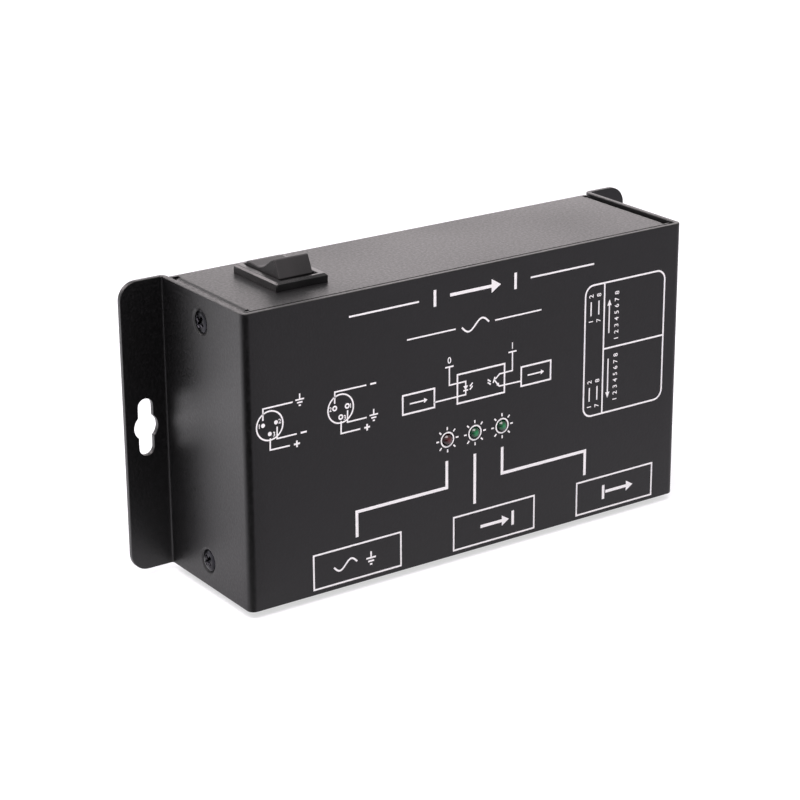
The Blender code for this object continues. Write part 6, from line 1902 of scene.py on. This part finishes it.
@dataclass
class Studio:
    """Pale floor, soft lamps and the camera at the photograph's angle."""

    floor_height: float = -41.95 * MM
    floor_half: float = 6.0
    floor_grey: str = "#a7a8ad"
    sky_white: str = "#ffffff"
    # painted black that only mirror rays see: a painted dark reflection for the near bend
    painted_sector_black: str = "#000000"
    floor_fade: tuple[float, float] = (-0.12, 0.1)
    sky_fade: tuple[float, float] = (-0.6, 0.5)
    sector_fade: tuple[float, float] = (0.45, 0.85)
    camera_target: tuple[float, float, float] = (-24.08 * MM, -41.5 * MM, 8.23 * MM)
    azimuth: float = math.radians(-34.54)
    elevation: float = math.radians(20.04)
    roll: float = math.radians(-0.357)
    distance: float = 618.19 * MM
    lens: float = 107.75
    sensor: float = 36.0
    clip: tuple[float, float] = (0.01, 50.0)
    front_level: float = 0.44
    back_level: float = 0.8
    camera_lift: float = 0.62
    lamp_colour: str = "#fff3f6"
    corner: tuple[float, float, float] = (-70.0 * MM, -41.0 * MM, 0.0)

    def floor(self) -> None:
        """A pale plane; camera rays see it lifted to white, and it keeps the object's shadow.

        Mirror rays see a painted glow behind the object, a painted reflection of a lit backdrop, and plain in
        front; in a sector before the near corner they see the floor painted black, a painted dark reflection.
        """
        half = self.floor_half
        corners = np.array([(-half, -half, 0), (half, -half, 0), (half, half, 0), (-half, half, 0)])
        plane = mesh_object("studio_floor", corners + np.array([0, 0, self.floor_height]), [[0, 1, 2, 3]])
        made = bpy.data.materials.new("painted_studio_floor")
        made.use_nodes = True
        tree = made.node_tree
        tree.nodes.clear()
        rays = add_node(tree, Kind.RAYS).outputs
        place = add_node(tree, Kind.PLACE).outputs["Object"]
        depth = add_node(tree, Kind.SPLIT, {0: place}).outputs["Y"]
        ramp = {"Value": depth, "From Min": self.floor_fade[0], "From Max": self.floor_fade[1]}
        back = add_node(tree, Kind.RANGE, ramp, interpolation_type="SMOOTHSTEP").outputs[0]
        # Painted reflection: only mirror rays see the floor glow behind the object, as if a lit backdrop stood
        # there.
        mirror = add_node(tree, Kind.MATH, {0: rays["Is Glossy Ray"], 1: back}, operation="MULTIPLY")
        direct = {0: rays["Is Camera Ray"], 1: self.camera_lift}
        seen = add_node(tree, Kind.MATH, direct, operation="MULTIPLY")
        lift = add_node(tree, Kind.MATH, {0: seen.outputs[0], 1: mirror.outputs[0]}, operation="ADD")
        # Painted dark reflection: mirror rays see a sector before the near corner painted black, which the
        # near bend mirrors.
        sector = self.painted_dark_sector(tree, place)
        dark = add_node(tree, Kind.MATH, {0: rays["Is Glossy Ray"], 1: sector}, operation="MULTIPLY")
        blend = {"Factor": dark.outputs[0], "A": linear(self.floor_grey), "B": linear(self.painted_sector_black)}
        colour = add_node(tree, Kind.MIX, blend, data_type="RGBA").outputs["Result"]
        paint = add_node(tree, Kind.DIFFUSE, {"Color": colour})
        glow = add_node(tree, Kind.EMISSION, {"Strength": lift.outputs[0]})
        both = add_node(tree, Kind.SUM, {0: paint.outputs[0], 1: glow.outputs[0]})
        add_node(tree, Kind.SURFACE, {"Surface": both.outputs[0]})
        plane.data.materials.append(made)

    def painted_dark_sector(self, tree: bpy.types.NodeTree, place: bpy.types.NodeSocket) -> bpy.types.NodeSocket:
        """How far a place on the floor lies in the painted dark sector that spreads from the box's near
        corner.

        With u the direction from the corner to the place and c a fixed direction, along the photograph's
        azimuth, it is a smooth step of u . c. Only mirror rays see the sector painted black, and the near bend
        mirrors it as a painted dark band, a painted reflection, between two lit faces.

        Args:
            tree: the node tree.
            place: a place on the floor.

        Returns:
            The share, from zero outside the sector to one in its middle.
        """
        away = add_node(tree, Kind.VECTOR, {0: place, 1: self.corner}, operation="SUBTRACT")
        flat = add_node(tree, Kind.VECTOR, {0: away.outputs[0], 1: (1, 1, 0)}, operation="MULTIPLY")
        unit = add_node(tree, Kind.VECTOR, {0: flat.outputs[0]}, operation="NORMALIZE")
        sight = (math.sin(self.azimuth), -math.cos(self.azimuth), 0.0)
        near = add_node(tree, Kind.VECTOR, {0: unit.outputs[0], 1: sight}, operation="DOT_PRODUCT")
        low, high = self.sector_fade
        ramp = {"Value": near.outputs["Value"], "From Min": low, "From Max": high}
        return add_node(tree, Kind.RANGE, ramp, interpolation_type="SMOOTHSTEP").outputs[0]

    def world(self) -> None:
        """Soft white surroundings, brighter behind the object than in front; camera rays see plain white."""
        world = bpy.data.worlds.new("studio")
        bpy.context.scene.world = world
        world.use_nodes = True
        tree = world.node_tree
        tree.nodes.clear()
        rays = add_node(tree, Kind.RAYS).outputs
        way = add_node(tree, Kind.PLACE).outputs["Generated"]
        depth = add_node(tree, Kind.SPLIT, {0: way}).outputs["Y"]
        ramp = {"Value": depth, "From Min": self.sky_fade[0], "From Max": self.sky_fade[1]}
        share = add_node(tree, Kind.RANGE, ramp, interpolation_type="SMOOTHSTEP").outputs[0]
        level = {"Value": share, "To Min": self.front_level, "To Max": self.back_level}
        lit = add_node(tree, Kind.RANGE, level).outputs[0]
        direct = {0: rays["Is Camera Ray"], 1: rays["Is Transmission Ray"]}
        seen = add_node(tree, Kind.MATH, direct, operation="MAXIMUM").outputs[0]
        strength = add_node(tree, Kind.RANGE, {"Value": seen, "To Min": lit, "To Max": 1.0}).outputs[0]
        sky = add_node(tree, Kind.BACKGROUND, {"Color": linear(self.sky_white), "Strength": strength})
        add_node(tree, Kind.WORLD, {"Surface": sky.outputs[0]})

    def lamp(self, name: str, place: Sequence[float], size: tuple[float, float], power: float) -> None:
        """Add one soft rectangular lamp that faces the origin, of a slightly warm white.

        Args:
            name: its name.
            place: where it is, in metres.
            size: its width and height in metres.
            power: in watts.
        """
        light = bpy.data.lights.new(name, "AREA")
        light.shape = "RECTANGLE"
        light.size, light.size_y = size
        light.energy = power
        light.color = linear(self.lamp_colour)[:3]
        holder = bpy.data.objects.new(name, light)
        holder.location = place
        holder.rotation_mode = "QUATERNION"
        holder.rotation_quaternion = (-Vector(place)).to_track_quat("-Z", "Y")
        bpy.context.scene.collection.objects.link(holder)

    def camera(self) -> None:
        """The camera on the line of sight that the photograph was taken along."""
        across, aside = -math.cos(self.azimuth), math.sin(self.azimuth)
        level = math.cos(self.elevation)
        back = Vector((aside * level, across * level, math.sin(self.elevation)))
        side = Vector((0, 0, 1)).cross(back).normalized()
        up = back.cross(side)
        cos, sin = math.cos(self.roll), math.sin(self.roll)
        right, top = cos * side + sin * up, cos * up - sin * side
        place = Vector(self.camera_target) + back * self.distance
        data = bpy.data.cameras.new("camera")
        data.sensor_width = self.sensor
        data.lens = self.lens
        data.clip_start, data.clip_end = self.clip
        holder = bpy.data.objects.new("camera", data)
        turn = Matrix((right, top, back)).transposed().to_4x4()
        holder.matrix_world = Matrix.Translation(place) @ turn
        bpy.context.scene.collection.objects.link(holder)
        bpy.context.scene.camera = holder

    def build(self) -> None:
        """Set up the camera, the floor, the surroundings, the lamps and the plain view of colours."""
        bpy.context.scene.view_settings.view_transform = "Standard"
        self.camera()
        self.floor()
        self.world()
        self.lamp("backdrop_softbox", place=(1.05, 0.95, 0.46), size=(1.3, 0.75), power=5.4)
        self.lamp("overhead_softbox", place=(-0.35, -0.3, 1.2), size=(1.4, 1.0), power=29.0)
        self.lamp("rim_strip", place=(-0.75, 1.6, 1.1), size=(1.2, 0.6), power=14.0)


# ------------ assemblies


@dataclass
class CaseShell:
    """The cover, its print, the chassis behind them, and the screws of the side walls and the bottom."""

    chassis_edge: float = 0.22 * MM
    side: float = 70.3 * MM
    screw_y: float = -20.5 * MM
    screw_height: float = 32.7 * MM
    cover_turns: tuple[float, ...] = (0.76, 0.95, 0.2, 0.9)
    cover_dome: float = 0.28 * MM
    bottom: float = -41.8 * MM
    socket_spots: tuple[Point2, ...] = (
        (-57.8 * MM, -20.5 * MM),
        (-17.8 * MM, -20.5 * MM),
        (-5.4 * MM, -30.0 * MM),
        (18.6 * MM, -11.0 * MM),
        (36.6 * MM, -30.0 * MM),
        (60.6 * MM, -11.0 * MM),
    )
    socket_turn: float = 0.3
    socket_dome: float = 0.1 * MM

    def build(self) -> list[bpy.types.Object]:
        """Build the sheets, the print and the screws.

        Returns:
            The new pieces.
        """
        chassis = EdgedNode("rear_chassis", POWDER_COAT, edge=self.chassis_edge)
        made = [FrontCover().build(), PanelPrint().build(), chassis.build()]
        screw = CrossScrew()
        corners = ((-1, -1), (-1, 1), (1, -1), (1, 1))
        for number, ((side, up), turn) in enumerate(zip(corners, self.cover_turns), 1):
            tip = (side * self.side, self.screw_y, up * self.screw_height)
            axis = "+X" if side > 0 else "-X"
            made.append(screw.build(f"cover_screw_{number}", tip, axis, turn, self.cover_dome, BLACK_ZINC))
        for number, spot in enumerate(self.socket_spots, 1):
            tip, turn = (*spot, self.bottom), self.socket_turn * number
            made.append(screw.build(f"socket_screw_{number}", tip, "-Z", turn, self.socket_dome, BLACK_ZINC))
        return made


@dataclass
class SocketPanel:
    """The inlet, the two signal sockets, the latch and the two network sockets."""

    moulding_edge: float = 0.12 * MM
    casting_edge: float = 0.2 * MM
    pin_edge: float = 0.25 * MM

    def build(self) -> list[bpy.types.Object]:
        """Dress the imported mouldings, castings and flat pins, and build the round pins and the sprung wires.

        Returns:
            The new pieces.
        """
        jacks = ("network_in", "network_out")
        mouldings = ("power_inlet", "xlr_in_insert", "xlr_out_insert", *jacks)
        castings = ("xlr_in_shell", "xlr_out_shell")
        blades = ("inlet_pin_line", "inlet_pin_neutral", "inlet_pin_earth")
        made = [EdgedNode(name, SOCKET_PBT, edge=self.moulding_edge).build() for name in mouldings]
        made += [EdgedNode(name, CAST_ZINC, edge=self.casting_edge).build() for name in castings]
        made.append(EdgedNode("xlr_latch", BRIGHT_ZINC, Body.LATCH, self.moulding_edge).build())
        made += [EdgedNode(name, SILVER_PLATE, edge=self.pin_edge).build() for name in blades]
        made += [ContactPin(f"xlr_in_pin_{k}").build() for k in (1, 2, 3)]
        return made + [JackContacts(name).build() for name in jacks]


@dataclass
class IndicatorRow:
    """The three indicators, side by side."""

    pitch: float = 9.0 * MM

    def build(self) -> list[bpy.types.Object]:
        """Build the lamps.

        Returns:
            Their lenses.
        """
        nodes = ("led_red", "led_green_middle", "led_green_right")
        resins = (RED_RESIN, GREEN_RESIN, RIGHT_RESIN)
        return [Indicator(k * self.pitch, *lamp).build() for k, lamp in enumerate(zip(nodes, resins), -1)]


def main() -> None:
    logging.basicConfig(level=logging.INFO, format="%(message)s")
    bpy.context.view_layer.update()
    Studio().build()
    for assembly in (CaseShell(), RockerSwitch(), IndicatorRow(), SocketPanel()):
        for piece in assembly.build():
            LOG.info("%s: %s has %d faces", type(assembly).__name__, piece.name, len(piece.data.polygons))
    LOG.info("dressed %d packed nodes", dress_kept_nodes())


if __name__ == "__main__":
    main()
